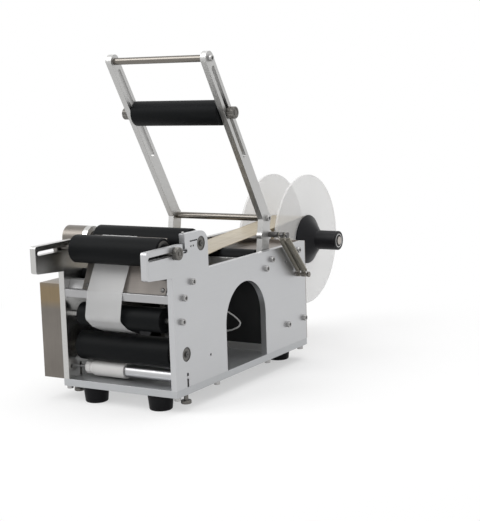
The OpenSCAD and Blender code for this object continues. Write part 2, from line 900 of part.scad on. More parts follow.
module box_lid() {
    top = side_h - lid_drop;
    color("#8a8078") across(-inner_x + reel_arm_t + seat_gap, inner_x - seat_gap) {
        translate([panel_y, panel_top]) square([ledge_y - panel_y + sheet_t, sheet_t]);
        translate([ledge_y, panel_top]) square([sheet_t, top - panel_top]);
        translate([ledge_y, top - sheet_t]) square([body_l - ledge_y, sheet_t]);
    }
}

module rear_cover() {
    cover_points = [for (x = [-1, 1], z = rear_screw_shares) [x * (outer_x - side_t / 2), z * side_h]];
    color("#8a8078") difference() {
        translate([-outer_x, body_l, 0]) cube([body_w, sheet_t, side_h]);
        translate([-outer_x - overrun, body_l - overrun, reel_arm_top - reel_arm_h - seat_gap])
            cube([side_t + reel_arm_t + seat_gap + overrun, sheet_t + 2 * overrun, side_h]);
        for (p = cover_points) rear_hole(p[0], p[1], cover_screw_r + run_fit);
        translate([inlet_x - inlet_w / 2, body_l - overrun, inlet_z - inlet_h / 2])
            cube([inlet_w, sheet_t + 2 * overrun, inlet_h]);
        translate([switch_x - switch_w / 2, body_l - overrun, switch_z - switch_h / 2])
            cube([switch_w, sheet_t + 2 * overrun, switch_h]);
    }
}

module rear_hole(x, z, r) {
    translate([x, body_l - overrun, z]) rotate([-90, 0, 0]) cylinder(h = sheet_t + 2 * overrun, r = r);
}

module small_screws() {
    color("#c9c9c9") {
        for (x = [-1, 1], z = rear_screw_shares)
            if (x > 0 || z * side_h < reel_arm_top - reel_arm_h - cover_head_r)
                translate([x * (outer_x - side_t / 2), body_l + sheet_t, z * side_h]) rotate([-90, 0, 0]) {
                    cylinder(h = cover_head_h, r = cover_head_r);
                    translate([0, 0, -sheet_t]) cylinder(h = sheet_t + half, r = cover_screw_r);
                }
        translate([outer_x - side_t / 2, set_screw_y, rear_roller_z + tower_r]) difference() {
            union() {
                cylinder(h = set_screw_h, r = set_screw_r);
                translate([0, 0, -set_screw_h]) cylinder(h = set_screw_h + half, r = set_screw_r / 2);
            }
            translate([0, 0, set_screw_h - half]) cylinder(h = overrun, r = set_screw_r / 2, $fn = 6);
        }
        for (i = [0:2]) peel_screw_place(i) difference() {
            union() {
                cylinder(h = peel_screw_head_h, r = peel_screw_head_r);
                translate([0, 0, -rail_depth / 2]) cylinder(h = rail_depth / 2 + half, r = peel_screw_r);
            }
            translate([-peel_screw_head_r - overrun, -wire_r / 2, peel_screw_head_h / 2])
                cube([2 * peel_screw_head_r + 2 * overrun, wire_r, peel_screw_head_h]);
        }
    }
}

module power_inlet() {
    depth = inlet_depth;
    color("#17181b") translate([inlet_x, body_l, inlet_z]) {
        difference() {
            union() {
                translate([-inlet_w / 2 - inlet_flange, sheet_t, -inlet_h / 2 - inlet_flange])
                    cube([inlet_w + 2 * inlet_flange, inlet_wall, inlet_h + 2 * inlet_flange]);
                translate([-inlet_w / 2 + run_fit, -depth, -inlet_h / 2 + run_fit])
                    cube([inlet_w - 2 * run_fit, depth + sheet_t + half, inlet_h - 2 * run_fit]);
            }
            translate([-inlet_w / 2 + inlet_wall, -depth + inlet_wall, -inlet_h / 2 + inlet_wall])
                cube([inlet_w - 2 * inlet_wall, depth + sheet_t + 2 * inlet_wall, inlet_h - 2 * inlet_wall]);
        }
        for (i = [-1:1]) translate([i * inlet_w / 4 - inlet_pin_w / 2, -depth + inlet_wall - half,
            (i == 0 ? 1 : -1) * inlet_pin_h / 2 - inlet_pin_h / 2])
            cube([inlet_pin_w, depth - inlet_wall, inlet_pin_h]);
    }
}

module switch_housing() {
    color("#17181b") translate([switch_x, body_l, switch_z]) difference() {
        union() {
            translate([-switch_w / 2 - inlet_wall, sheet_t, -switch_h / 2 - inlet_wall])
                cube([switch_w + 2 * inlet_wall, inlet_wall, switch_h + 2 * inlet_wall]);
            translate([-switch_w / 2 + run_fit, -inlet_depth, -switch_h / 2 + run_fit])
                cube([switch_w - 2 * run_fit, inlet_depth + sheet_t + half, switch_h - 2 * run_fit]);
        }
        translate([-key_w / 2 - seat_gap, -inlet_depth / 2, -key_h / 2 - inlet_wall])
            cube([key_w + 2 * seat_gap, inlet_depth + 2 * sheet_t, key_h + 2 * inlet_wall]);
    }
}

module rocker_key() {
    color("#c4161c") across(switch_x - key_w / 2, switch_x + key_w / 2)
        translate(key_pivot) rotate(key_tilt) polygon([
            [-key_proud / 2, -key_h / 4], [0, -key_h / 2], [key_proud, -key_h / 2],
            [key_proud - key_dish, 0], [key_proud, key_h / 2], [0, key_h / 2], [-key_proud / 2, key_h / 4]
        ]);
}

module control_board() {
    color("#2f5d3a") {
        translate([-board_len / 2, board_y, board_z]) cube([board_len, board_depth, board_t]);
        for (s = board_part_shares)
            translate([board_len * s, board_y + board_part_inset, board_z + board_t])
                cube([board_part_w, board_part_depth, board_part_h * (1 + s)]);
        for (x = board_post_shares, y = board_post_shares)
            translate([x * board_len, board_y + board_depth * (half + y), 0])
                cylinder(h = board_z, r = cover_head_r);
    }
}

// Label sensor: a fork round the right edge of the web, carried from the right plate
module label_sensor() {
    web_edge = web_w / 2 - web_left;
    color("#202124") difference() {
        across(web_edge - fork_reach, web_edge - fork_reach + fork_w)
            translate([fork_y - fork_depth / 2, fork_z - fork_h / 2]) square([fork_depth, fork_h]);
        across(web_edge - fork_reach - overrun, web_edge + overrun)
            translate([fork_y - fork_slot / 2, fork_z - fork_h / 2 - overrun])
                square([fork_slot, fork_h + 2 * overrun]);
    }
    color("#202124") across(web_edge - fork_reach + fork_w, inner_x)
        translate([fork_y - fork_arm / 2, fork_z - fork_arm / 2]) square(fork_arm);
}

// A tube swept along a route, flat at both ends
function tangent(p, i) = let (
    d = p[min(i + 1, len(p) - 1)] - p[max(i - 1, 0)]
) i == 0 || i == len(p) - 1 ? [0, sign(d[1]), 0] : d / norm(d);
function smooth(p, n) = [
    for (i = [0:len(p) - 2], k = [0:n - 1])
        let (
            a = p[max(i - 1, 0)], b = p[i], c = p[i + 1], d = p[min(i + 2, len(p) - 1)], t = k / n
        )
        b + t / 2 * (c - a + t * (2 * a - 5 * b + 4 * c - d + t * (3 * (b - c) + d - a))),
    p[len(p) - 1]
];

module swept_tube(p, r, sides, ref) {
    n = len(p);
    points = [
        for (i = [0:n - 1])
            let (t = tangent(p, i), u0 = cross(t, ref), u = u0 / norm(u0), v = cross(t, u))
            for (k = [0:sides - 1]) let (a = 360 * k / sides) p[i] + r * (cos(a) * u + sin(a) * v)
    ];
    faces = concat(
        [[for (k = [0:sides - 1]) k]],
        [for (i = [0:n - 2], k = [0:sides - 1]) let (m = (k + 1) % sides)
            [i * sides + k, (i + 1) * sides + k, (i + 1) * sides + m]],
        [for (i = [0:n - 2], k = [0:sides - 1]) let (m = (k + 1) % sides)
            [i * sides + k, (i + 1) * sides + m, i * sides + m]],
        [[for (k = [sides - 1:-1:0]) (n - 1) * sides + k]]
    );
    polyhedron(points = points, faces = faces);
}

module wiring_loop() {
    color("#141416") translate([0, panel_y, 0])
        swept_tube(smooth(loop_route, loop_parts), loop_r, loop_sides, loop_up);
}

// Webs
module across_web() {
    across(-web_left - web_w / 2, -web_left + web_w / 2) children();
}

module label_web() {
    first = heading(label_wraps[0], label_wraps[1]) - web_wrap;
    color("#b8a98a") across_web() polygon(ribbon(web_path(label_wraps, first, 180), web_t));
}

module liner_web() {
    color("#aaaaaa") across_web() polygon(ribbon(web_path(liner_wraps, 180, nip_heading), web_t));
}

// Reel
module reel_arm() {
    color("#b0b0b1") difference() {
        across(-inner_x, -inner_x + reel_arm_t) {
            translate([reel_arm_y, reel_arm_top - reel_arm_h]) square([reel_y - reel_arm_y, reel_arm_h]);
            translate(reel) circle(r = ear_r);
        }
        round_bar(-inner_x - overrun, -inner_x + reel_arm_t + overrun, reel, shaft_r + run_fit);
        for (p = [[reel_arm_screw_y, reel_arm_screw_z], [upper_stay_y, upper_stay_z]])
            round_bar(-inner_x - overrun, -inner_x + reel_arm_t + overrun, p, screw_r + run_fit);
    }
}

module reel_shaft() {
    color("#c9cacb") {
        round_bar(-inner_x - screw_head_h, -inner_x, reel, shaft_collar_r);
        round_bar(-inner_x - half, hub_end + overrun, reel, shaft_r);
        round_bar(-inner_x + reel_arm_t, disc_left - disc_t - seat_gap, reel, shaft_collar_r);
        round_bar(hub_end - end_ring_depth + seat_gap, hub_end + overrun, reel, end_nut_r);
    }
}

// Discs and hub turn together on the shaft
module reel_discs() {
    color("#d0cfcf") for (x = [disc_left - disc_t, disc_right]) difference() {
        round_bar(x, x + disc_t, reel, disc_r);
        round_bar(x - overrun, x + disc_t + overrun, reel, shaft_r + run_fit);
    }
}

module reel_hub() {
    x0 = disc_right + disc_t;
    color("#17181b") difference() {
        union() {
            round_bar(disc_left, disc_right, reel, core_r - seat_gap);
            round_bar(x0, hub_end, reel, grip_r);
            translate([x0, reel_y, reel_z]) rotate([0, 90, 0]) {
                cylinder(h = rim_w, r = hub_r);
                translate([0, 0, rim_w]) cylinder(h = cone_len - rim_w, r1 = hub_r, r2 = grip_r);
            }
        }
        round_bar(disc_left - overrun, hub_end + overrun, reel, shaft_r + run_fit);
        round_bar(hub_end - end_ring_depth, hub_end + overrun, reel, end_ring_r);
    }
}

module label_roll() {
    color("#c9b99a") across_web() translate(reel) difference() {
        circle(r = roll_r);
        circle(r = core_r);
    }
}

// Rollers that turn on fixed axles
module idler_roller() {
    p = [idler_y, idler_z];
    color("#1c1e1f") difference() {
        union() {
            round_bar(-inner_x + idler_gap_left, inner_x - idler_gap_right, p, idler_r);
            round_bar(
                -inner_x + idler_gap_left, inner_x - idler_gap_right + idler_hub_proud, p, idler_hub_r
            );
        }
        round_bar(-inner_x, inner_x, p, fixed_axle_r + run_fit);
    }
}

module web_idler() {
    p = [web_idler_y, web_idler_z];
    color("#1c1e1f") difference() {
        round_bar(-inner_x + seat_gap, inner_x - seat_gap, p, web_idler_r);
        round_bar(-inner_x, inner_x, p, fixed_axle_r + run_fit);
    }
}

module pivot_roller() {
    color("#1c1e1f") difference() {
        round_bar(-pivot_roller_len / 2, pivot_roller_len / 2, pivot, pivot_roller_r);
        round_bar(-inner_x, inner_x, pivot, pivot_axle_r + run_fit);
    }
}

// Driven rollers: a rubber sleeve on a turned core whose journals run in the side plates' bearings
module sleeve(x0, x1, p, r) {
    color("#1c1e1f") across(x0, x1) translate(p) difference() {
        circle(r = r);
        circle(r = r - rubber_t);
    }
}

module core(x0, x1, p, r, pulley_x) {
    color("#b9b2a8") {
        round_bar(x0, x1, p, r - rubber_t);
        round_bar(pulley_x, outer_x + overrun, p, axle_r);
        round_bar(pulley_x, pulley_x + belt_w, p, pulley_r);
    }
}

module rear_roller() {
    sleeve(rear_left_x, rear_right_x, [rear_roller_y, rear_roller_z], roller_r);
}

module rear_axle() {
    core(rear_left_x, rear_right_x, [rear_roller_y, rear_roller_z], roller_r, upper_pulley_x);
}

module traction_roller() {
    sleeve(-traction_x, traction_x, [traction_y, traction_z], traction_r);
}

module traction_axle() {
    core(-traction_x, traction_x, [traction_y, traction_z], traction_r, lower_pulley_x);
}

module motor_pulley() {
    motor = [motor_y, motor_z];
    color("#9a9b9d") {
        round_bar(upper_pulley_x - overrun, -inner_x + gear_len / 2 - seat_gap, motor, axle_r);
        round_bar(upper_pulley_x, upper_pulley_x + belt_w, motor, pulley_r);
        round_bar(lower_pulley_x, lower_pulley_x + belt_w, motor, pulley_r);
    }
}

// Take-up: an axle on two thumb screws, with a tube that winds the empty liner
module take_up_axle() {
    color("#c9cacb") round_bar(-outer_x, outer_x, take_up, take_up_axle_r);
}

module thumb_screws() {
    color("#8f9091") both_sides() translate([outer_x - side_t / 2, take_up_y, 0]) {
        translate([0, 0, -base_t - seat_gap - thumb_h]) difference() {
            cylinder(h = thumb_h, r = thumb_r);
            for (i = [0:knob_teeth - 1])
                rotate(i * 360 / knob_teeth) translate([thumb_r, 0, -overrun])
                    cylinder(h = thumb_h + 2 * overrun, r = thumb_r * knob_tooth_share, $fn = tooth_sides);
        }
        translate([0, 0, -base_t - overrun])
            cylinder(h = base_t + overrun + take_up_z - take_up_axle_r, r = thumb_shank_r);
    }
}

module take_up_tube() {
    flange_x = -liner_left - overrun;
    color("#cfcdcb") difference() {
        union() {
            round_bar(flange_x, inner_x - overrun, take_up, tube_r);
            knurled_knob(flange_x - flange_w, flange_x, take_up, flange_r);
        }
        round_bar(-inner_x, inner_x, take_up, take_up_axle_r + run_fit);
    }
}

module liner_roll() {
    color("#c8c6c4") across(-liner_left, -liner_left + sleeve_w) translate(take_up) difference() {
        circle(r = liner_r);
        circle(r = tube_r + run_fit);
    }
}

// Front roller, which slides in the noses and is clamped by two knobs
module front_axle() {
    color("#b9b2a8") {
        round_bar(-outer_x - half, outer_x + half, front, front_axle_r);
        both_sides() knurled_knob(outer_x + seat_gap, outer_x + seat_gap + knob_h, front, knob_r);
    }
}

module front_roller() {
    sleeve(front_left_x, front_right_x, front, roller_r);
}

module front_core() {
    color("#b9b2a8") difference() {
        round_bar(front_left_x, front_right_x, front, roller_r - rubber_t);
        round_bar(-inner_x, inner_x, front, front_axle_r + run_fit);
        for (x = [front_left_x, front_right_x]) across(x - half, x + half)
            translate(front) difference() {
                circle(r = bearing_r);
                circle(r = bearing_r - half);
            }
    }
}

// Press arm
module arm_outline() {
    run = bend - top_rod;
    difference() {
        union() {
            link_outline(top_rod, bend, arm_w / 2);
            link_outline(bend, pivot, arm_foot_r);
            children();
        }
        link_outline(
            top_rod + arm_slot_start_share * run, top_rod + arm_slot_end_share * run,
            press_axle_r + seat_gap / 2
        );
        translate(pivot) circle(r = pivot_axle_r + run_fit);
        for (p = [top_rod, bend]) translate(p) circle(r = screw_r + run_fit);
    }
}

module right_arm() {
    color("#bdbdbe") difference() {
        across(arm_inner, arm_outer)
            arm_outline() link_outline(upper_stud - [stud_behind, 0], upper_stud, lug_r);
        round_bar(arm_inner - overrun, arm_outer + overrun, upper_stud, screw_r + run_fit);
    }
}

module left_arm() {
    color("#bdbdbe") across(-arm_outer, -arm_inner) arm_outline();
}

module arm_rods() {
    color("#b9b2a8") difference() {
        union() for (p = [top_rod, bend]) round_bar(-arm_inner, arm_inner, p, rod_r);
        for (p = [top_rod, bend]) both_sides() screw_bore(arm_inner, p);
    }
}

module arm_screws() {
    color("#77787a") both_sides() for (p = [top_rod, bend])
        cap_screw(arm_outer, p, arm_t + screw_grip - overrun);
}

module stud(x0, x1, p) {
    color("#8f9091") difference() {
        union() {
            round_bar(x0, x1, p, screw_r);
            round_bar(x1, stud_tip, p, stud_r);
        }
        for (x = spring_x) across(x - groove_w / 2, x + groove_w / 2) translate(p) difference() {
            circle(r = stud_r + overrun);
            circle(r = groove_r);
        }
    }
}

module lower_spring_stud() {
    stud(inner_x, outer_x, lower_stud);
}

module upper_spring_stud() {
    stud(arm_inner, arm_outer, upper_stud);
}

module press_axle() {
    color("#b9b2a8") {
        round_bar(-arm_outer - half, arm_outer + half, press_point, press_axle_r);
        both_sides()
            knurled_knob(arm_outer + seat_gap, arm_outer + seat_gap + press_knob_h, press_point, knob_r);
    }
}

module press_roller() {
    color("#1c1e1f") difference() {
        round_bar(-press_len / 2, press_len / 2, press_point, press_r);
        round_bar(-inner_x, inner_x, press_point, press_axle_r + run_fit);
    }
}

// Springs: local Z runs from the lower stud to the upper one
module on_link(x) {
    translate([x, lower_stud[0], lower_stud[1]]) rotate([link_angle - 90, 0, 0]) children();
}

function coil_points() = let (n = curls * ring_steps)
    [for (i = [0:n]) let (a = 360 * i / ring_steps)
        [coil_r * cos(a), coil_r * sin(a), coil_start + coil_pitch * i / ring_steps]];

// Least clear way from one curl to the next, measured on the points of the wire's middle line
function least_gap(p) = min([
    for (
        i = [0:len(p) - 1 - ring_steps / 2],
        j = [i + ring_steps / 2:min(len(p) - 1, i + 2 * ring_steps)]
    ) norm(p[j] - p[i])
]) - 2 * wire_r;

module spring_coil() {
    p = coil_points();
    n = len(p);
    slope = atan2(coil_pitch, 360 * coil_r * PI / 180);
    points = [for (i = [0:n - 1]) let (a = 360 * i / ring_steps, u = [cos(a), sin(a), 0],
        t = [-sin(a) * cos(slope), cos(a) * cos(slope), sin(slope)], v = cross(t, u))
        for (k = [0:tube_sides - 1]) let (b = 360 * k / tube_sides)
            p[i] + wire_r * (cos(b) * u + sin(b) * v)];
    faces = concat(
        [[for (k = [0:tube_sides - 1]) k]],
        [for (i = [0:n - 2], k = [0:tube_sides - 1]) let (m = (k + 1) % tube_sides)
            [i * tube_sides + k, (i + 1) * tube_sides + k, (i + 1) * tube_sides + m]],
        [for (i = [0:n - 2], k = [0:tube_sides - 1]) let (m = (k + 1) % tube_sides)
            [i * tube_sides + k, (i + 1) * tube_sides + m, i * tube_sides + m]],
        [[for (k = [tube_sides - 1:-1:0]) (n - 1) * tube_sides + k]]
    );
    polyhedron(points = points, faces = faces);
}

module spring_coils() {
    echo(spring_least_gap = least_gap(coil_points()));
    color("#6b6558") for (x = spring_x) on_link(x) spring_coil();
}

// A wire eye round a stud, with a straight leg to the coil's end
module hook() {
    translate([0, 0, eye_offset]) rotate([0, 90, 0])
        rotate_extrude() translate([eye_mid_r, 0]) circle(r = wire_r);
    translate([0, 0, leg_start - wire_r / 2]) cylinder(h = coil_start - leg_start - wire_r, r = wire_r);
    translate([0, 0, coil_start - 2 * wire_r - seat_gap]) rotate([0, 90, 0])
        cylinder(h = coil_r + wire_r, r = wire_r);
}

module lower_hooks() {
    color("#6b6558") for (x = spring_x) on_link(x) hook();
}

module upper_hooks() {
    color("#6b6558") for (x = spring_x) on_link(x) translate([0, 0, link_len]) mirror([0, 0, 1]) hook();
}

placed() base_plate();
placed() rubber_feet();
placed() right_side_plate();
placed() left_side_plate();
placed() crossbar();
placed() peel_rail();
placed() peel_plate();
placed() stay_bar();
placed() rear_stays();
placed() frame_screws();
placed() fixed_axles();
placed() bearings();
placed() drive_cover();
placed() cover_bolts();
placed() drive_motor();
placed() drive_belts();
placed() box_panel();
placed() panel_strip();
placed() box_lid();
placed() rear_cover();
placed() small_screws();
placed() power_inlet();
placed() switch_housing();
placed() control_board();
placed() label_sensor();
placed() wiring_loop();
placed() label_web();
placed() liner_web();
placed() reel_arm();
placed() reel_shaft();
placed() lower_spring_stud();
placed() rocker_key();
placed() idler_roller();
placed() web_idler();
placed() pivot_roller();
placed() rear_roller();
placed() rear_axle();
placed() traction_roller();
placed() traction_axle();
placed() motor_pulley();
placed() take_up_axle();
placed() thumb_screws();
placed() take_up_tube();
placed() liner_roll();
placed() front_axle();
placed() front_roller();
placed() front_core();
placed() right_arm();
placed() left_arm();
placed() arm_rods();
placed() arm_screws();
placed() upper_spring_stud();
placed() press_axle();
placed() press_roller();
placed() spring_coils();
placed() lower_hooks();
placed() upper_hooks();
placed() reel_discs();
placed() reel_hub();
placed() label_roll();
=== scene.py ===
"""Looks of a bench machine that labels round bottles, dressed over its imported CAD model."""

import json
import logging
import math
from dataclasses import dataclass
from enum import Enum
from typing import Optional, Sequence, Union

import bmesh
import bpy
from mathutils import Matrix, Vector

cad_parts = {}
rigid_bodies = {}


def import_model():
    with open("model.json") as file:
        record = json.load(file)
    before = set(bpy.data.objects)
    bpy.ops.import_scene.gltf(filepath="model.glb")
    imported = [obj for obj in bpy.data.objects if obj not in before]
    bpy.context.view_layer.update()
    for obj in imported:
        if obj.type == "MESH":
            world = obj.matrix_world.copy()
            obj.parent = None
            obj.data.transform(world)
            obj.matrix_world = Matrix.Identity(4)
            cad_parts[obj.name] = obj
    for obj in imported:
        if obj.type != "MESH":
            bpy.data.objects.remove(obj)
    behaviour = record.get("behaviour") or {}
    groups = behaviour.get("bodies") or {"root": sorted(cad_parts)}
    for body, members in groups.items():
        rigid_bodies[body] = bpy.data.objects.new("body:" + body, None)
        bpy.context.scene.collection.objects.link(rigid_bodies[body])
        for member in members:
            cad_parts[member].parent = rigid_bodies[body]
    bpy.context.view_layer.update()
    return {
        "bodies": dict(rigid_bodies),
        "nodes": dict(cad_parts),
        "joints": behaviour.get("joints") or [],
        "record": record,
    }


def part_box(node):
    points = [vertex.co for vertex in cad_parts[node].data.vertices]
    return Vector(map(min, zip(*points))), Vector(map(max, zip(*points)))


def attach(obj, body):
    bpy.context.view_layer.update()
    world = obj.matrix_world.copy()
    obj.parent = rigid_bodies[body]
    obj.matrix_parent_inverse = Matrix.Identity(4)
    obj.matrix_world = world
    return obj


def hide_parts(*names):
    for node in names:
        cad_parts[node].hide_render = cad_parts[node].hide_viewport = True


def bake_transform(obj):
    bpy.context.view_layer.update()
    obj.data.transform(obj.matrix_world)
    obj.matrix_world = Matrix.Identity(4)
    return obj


LOG = logging.getLogger("labeler")
MM = 0.001
Colour = tuple[float, float, float]
Spot = tuple[float, float, float]
Point = Sequence[float]
Rims = Sequence[tuple[float, float]]
Noise = tuple[Union[Point, float], ...]  # Scale, detail and roughness.
Piece = bpy.types.Object
Number = Union[float, "Value"]

# Lines along X that several pieces share: y and z in the frame of the side plates.
REAR_LINE = (80.0, 210.0)
TRACTION_LINE = (29.5, 50.0)
FRONT_LINE = (9.5, 204.0)
PRESS_LINE = (193.52, 399.07)

RAYS = ("Camera", "Glossy", "Transmission")
NOISE_MIDDLE = 0.5
FIBRE = ((700, 700, 700), 4, 0.7)
HEXAGON = 6
KNURL_EVERY = 4
KNURL_SHARE = 0.93
WIRE_STEPS = 6
WIRE_ROUNDNESS = 4
BEVEL_SAMPLES = 4


class Value:
    """A shader socket that takes part in Python arithmetic."""

    def __init__(self, graph: "Graph", socket: bpy.types.NodeSocket) -> None:
        """Wraps an output socket of a graph's node."""
        self.graph = graph
        self.socket = socket

    def maths(self, operation: str, *others: Number) -> "Value":
        """A Math node on this value and others."""
        return self.graph.maths(operation, self, *others)

    def __add__(self, other: Number) -> "Value":
        """This value plus another."""
        return self.maths("ADD", other)

    def __radd__(self, other: Number) -> "Value":
        """Another value plus this one."""
        return self.graph.maths("ADD", other, self)

    def __sub__(self, other: Number) -> "Value":
        """This value less another."""
        return self.maths("SUBTRACT", other)

    def __rsub__(self, other: Number) -> "Value":
        """Another value less this one."""
        return self.graph.maths("SUBTRACT", other, self)

    def __mul__(self, other: Number) -> "Value":
        """This value times another."""
        return self.maths("MULTIPLY", other)

    def __truediv__(self, other: Number) -> "Value":
        """This value over another."""
        return self.maths("DIVIDE", other)

    def __gt__(self, other: Number) -> "Value":
        """1 where this value is the greater one."""
        return self.maths("GREATER_THAN", other)

    def clamped(self) -> "Value":
        """This value held between 0 and 1."""
        return self.maths("MAXIMUM", 0.0).maths("MINIMUM", 1.0)

    def swing(self, amount: float) -> "Value":
        """This noise about 0 instead of about its middle, times an amount."""
        return (self - NOISE_MIDDLE) * amount

    def above(self, level: float, gain: float) -> "Value":
        """How far this value lies above a level, times a gain, held between 0 and 1."""
        return ((self - level) * gain).clamped()


class Graph:
    """The node tree of one material or of the world."""

    def __init__(self, name: str, world: bool = False) -> None:
        """Starts an empty tree.

        Args:
            name: The name of what owns it.
            world: Whether that is a world, and not a material.
        """
        self.owner = (bpy.data.worlds if world else bpy.data.materials).new(name)
        self.owner.use_nodes = True
        self.tree = self.owner.node_tree
        self.tree.nodes.clear()

    def node(
        self, kind: str, settings: Optional[dict] = None, inputs: Optional[dict] = None,
        output: Union[int, str] = 0,
    ) -> Value:
        """Adds a node, sets it up and joins it to what feeds it.

        Args:
            kind: The node's type.
            settings: Properties that are set first.
            inputs: A value or a link for each named or numbered socket.
            output: The output that is returned.

        Returns:
            The chosen output of the new node.
        """
        made = self.tree.nodes.new(kind)
        for key, value in (settings or {}).items():
            setattr(made, key, value)
        for key, value in (inputs or {}).items():
            if isinstance(value, Value):
                self.tree.links.new(value.socket, made.inputs[key])
            else:
                made.inputs[key].default_value = value
        return Value(self, made.outputs[output]) if made.outputs else Value(self, None)

    def maths(self, operation: str, *values: Number) -> Value:
        """A Math node on up to three numbers or links."""
        return self.node("ShaderNodeMath", {"operation": operation}, dict(enumerate(values)))

    def place(self, scale: Point = (1, 1, 1), centre: Point = (0, 0, 0)) -> Value:
        """Object coordinates, moved to a centre and stretched.

        Args:
            scale: How many pattern units a metre has along each axis.
            centre: The pattern's origin in metres.

        Returns:
            The mapped coordinates.
        """
        raw = self.node("ShaderNodeTexCoord", output="Object")
        shift = [-c * s for c, s in zip(centre, scale)]
        return self.node("ShaderNodeMapping", inputs={"Vector": raw, "Location": shift, "Scale": scale})

    def distance(self, scale: Point = (1, 1, 1), centre: Point = (0, 0, 0)) -> Value:
        """How far a point lies from a centre, in pattern units."""
        out = self.place(scale, centre)
        return self.node("ShaderNodeVectorMath", {"operation": "LENGTH"}, {0: out}, "Value")

    def seen(self) -> Value:
        """1 for rays that come from the camera, off a glossy surface or through a clear one."""
        camera, glossy, clear = (self.node("ShaderNodeLightPath", output=f"Is {ray} Ray") for ray in RAYS)
        return camera.maths("MAXIMUM", glossy).maths("MAXIMUM", clear)

    def noise(self, scale: Point, detail: float = 2.0, rough: float = 0.5) -> Value:
        """Noise from 0 to 1 with so many pattern units in a metre along each axis."""
        inputs = {"Vector": self.place(scale), "Scale": 1.0, "Detail": detail, "Roughness": rough}
        return self.node("ShaderNodeTexNoise", inputs=inputs)

    def rings(self, centre: Point, scale: float) -> Value:
        """Noise in rings about a line along X, as a roll shows its windings."""
        inputs = {"W": self.distance((0, 1, 1), centre) * scale, "Scale": 1.0, "Detail": 2.0}
        return self.node("ShaderNodeTexNoise", {"noise_dimensions": "1D"}, inputs)

    def mix(self, factor: Number, first: Union[Colour, Value], second: Union[Colour, Value]) -> Value:
        """A blend of two colours, with 0 for the first one and 1 for the second."""
        full = [c if isinstance(c, Value) else (*c, 1.0) for c in (first, second)]
        return self.node("ShaderNodeMix", {"data_type": "RGBA"}, {0: factor, 6: full[0], 7: full[1]}, 2)

    def shaded(self, tone: Value, share: float, colour: Colour, stained: Optional[Value] = None) -> Value:
        """A colour or its stained form, drawn towards a share of the colour where the tone falls."""
        return self.mix(tone, tuple(c * share for c in colour), stained or colour)

    def rounded(self, radius: float) -> Value:
        """The normal of edges softened by a radius in metres."""
        return self.node("ShaderNodeBevel", {"samples": BEVEL_SAMPLES}, {"Radius": radius})

    def bump(self, height: Value, depth: float, normal: Optional[Value] = None) -> Value:
        """A normal pushed about by a height.

        Args:
            height: The height, from 0 to 1.
            depth: How far a height of 1 stands up, in metres.
            normal: The normal that is pushed.

        Returns:
            The new normal.
        """
        inputs = {"Height": height, "Distance": depth, "Strength": 1.0}
        if normal is not None:
            inputs["Normal"] = normal
        return self.node("ShaderNodeBump", inputs=inputs)

    def finish(self, **sockets: Union[float, Colour, Value]) -> bpy.types.Material:
        """Ends the material with a principled shader.

        Args:
            sockets: Values by the socket's name, with _ for a space.

        Returns:
            The finished material.
        """
        inputs = {}
        for key, value in sockets.items():
            if isinstance(value, tuple) and len(value) == 3:
                value = (*value, 1.0)
            inputs[key.replace("_", " ")] = value
        shader = self.node("ShaderNodeBsdfPrincipled", inputs=inputs)
        self.node("ShaderNodeOutputMaterial", inputs={"Surface": shader})
        return self.owner


class Grain(Enum):
    """The direction in which a sheet was brushed."""

    ACROSS = (14.0, 900.0, 900.0)
    BACK = (900.0, 14.0, 900.0)
    UP = (900.0, 900.0, 14.0)


@dataclass(frozen=True)
class Anodised:
    """Satin anodised aluminium plate."""

    name: str
    colour: Colour = (0.515, 0.52, 0.53)
    roughness: float = 0.36
    metallic: float = 0.95
    edge: float = 0.7 * MM
    speck: Noise = ((2600, 2600, 2600), 2)
    cloud: Noise = ((9, 9, 14), 3)
    streak: Noise = ((60, 12, 420), 3)
    level: float = 0.93
    cloud_tone: float = 0.1
    fine_tone: float = 0.05
    shade: float = 0.2
    speck_rough: float = 0.16
    cloud_rough: float = 0.1
    depth: float = 0.008 * MM

    def build(self) -> bpy.types.Material:
        """Makes the material."""
        g = Graph(self.name)
        speck, cloud, streak = (g.noise(*noise) for noise in (self.speck, self.cloud, self.streak))
        tone = self.level + cloud * self.cloud_tone + streak.swing(self.fine_tone)
        tone = tone + speck.swing(self.fine_tone)
        return g.finish(
            Base_Color=g.shaded(tone.clamped(), self.shade, self.colour),
            Metallic=self.metallic,
            Roughness=self.roughness + speck.swing(self.speck_rough) + cloud.swing(self.cloud_rough),
            Normal=g.bump(speck, self.depth, g.rounded(self.edge)),
        )


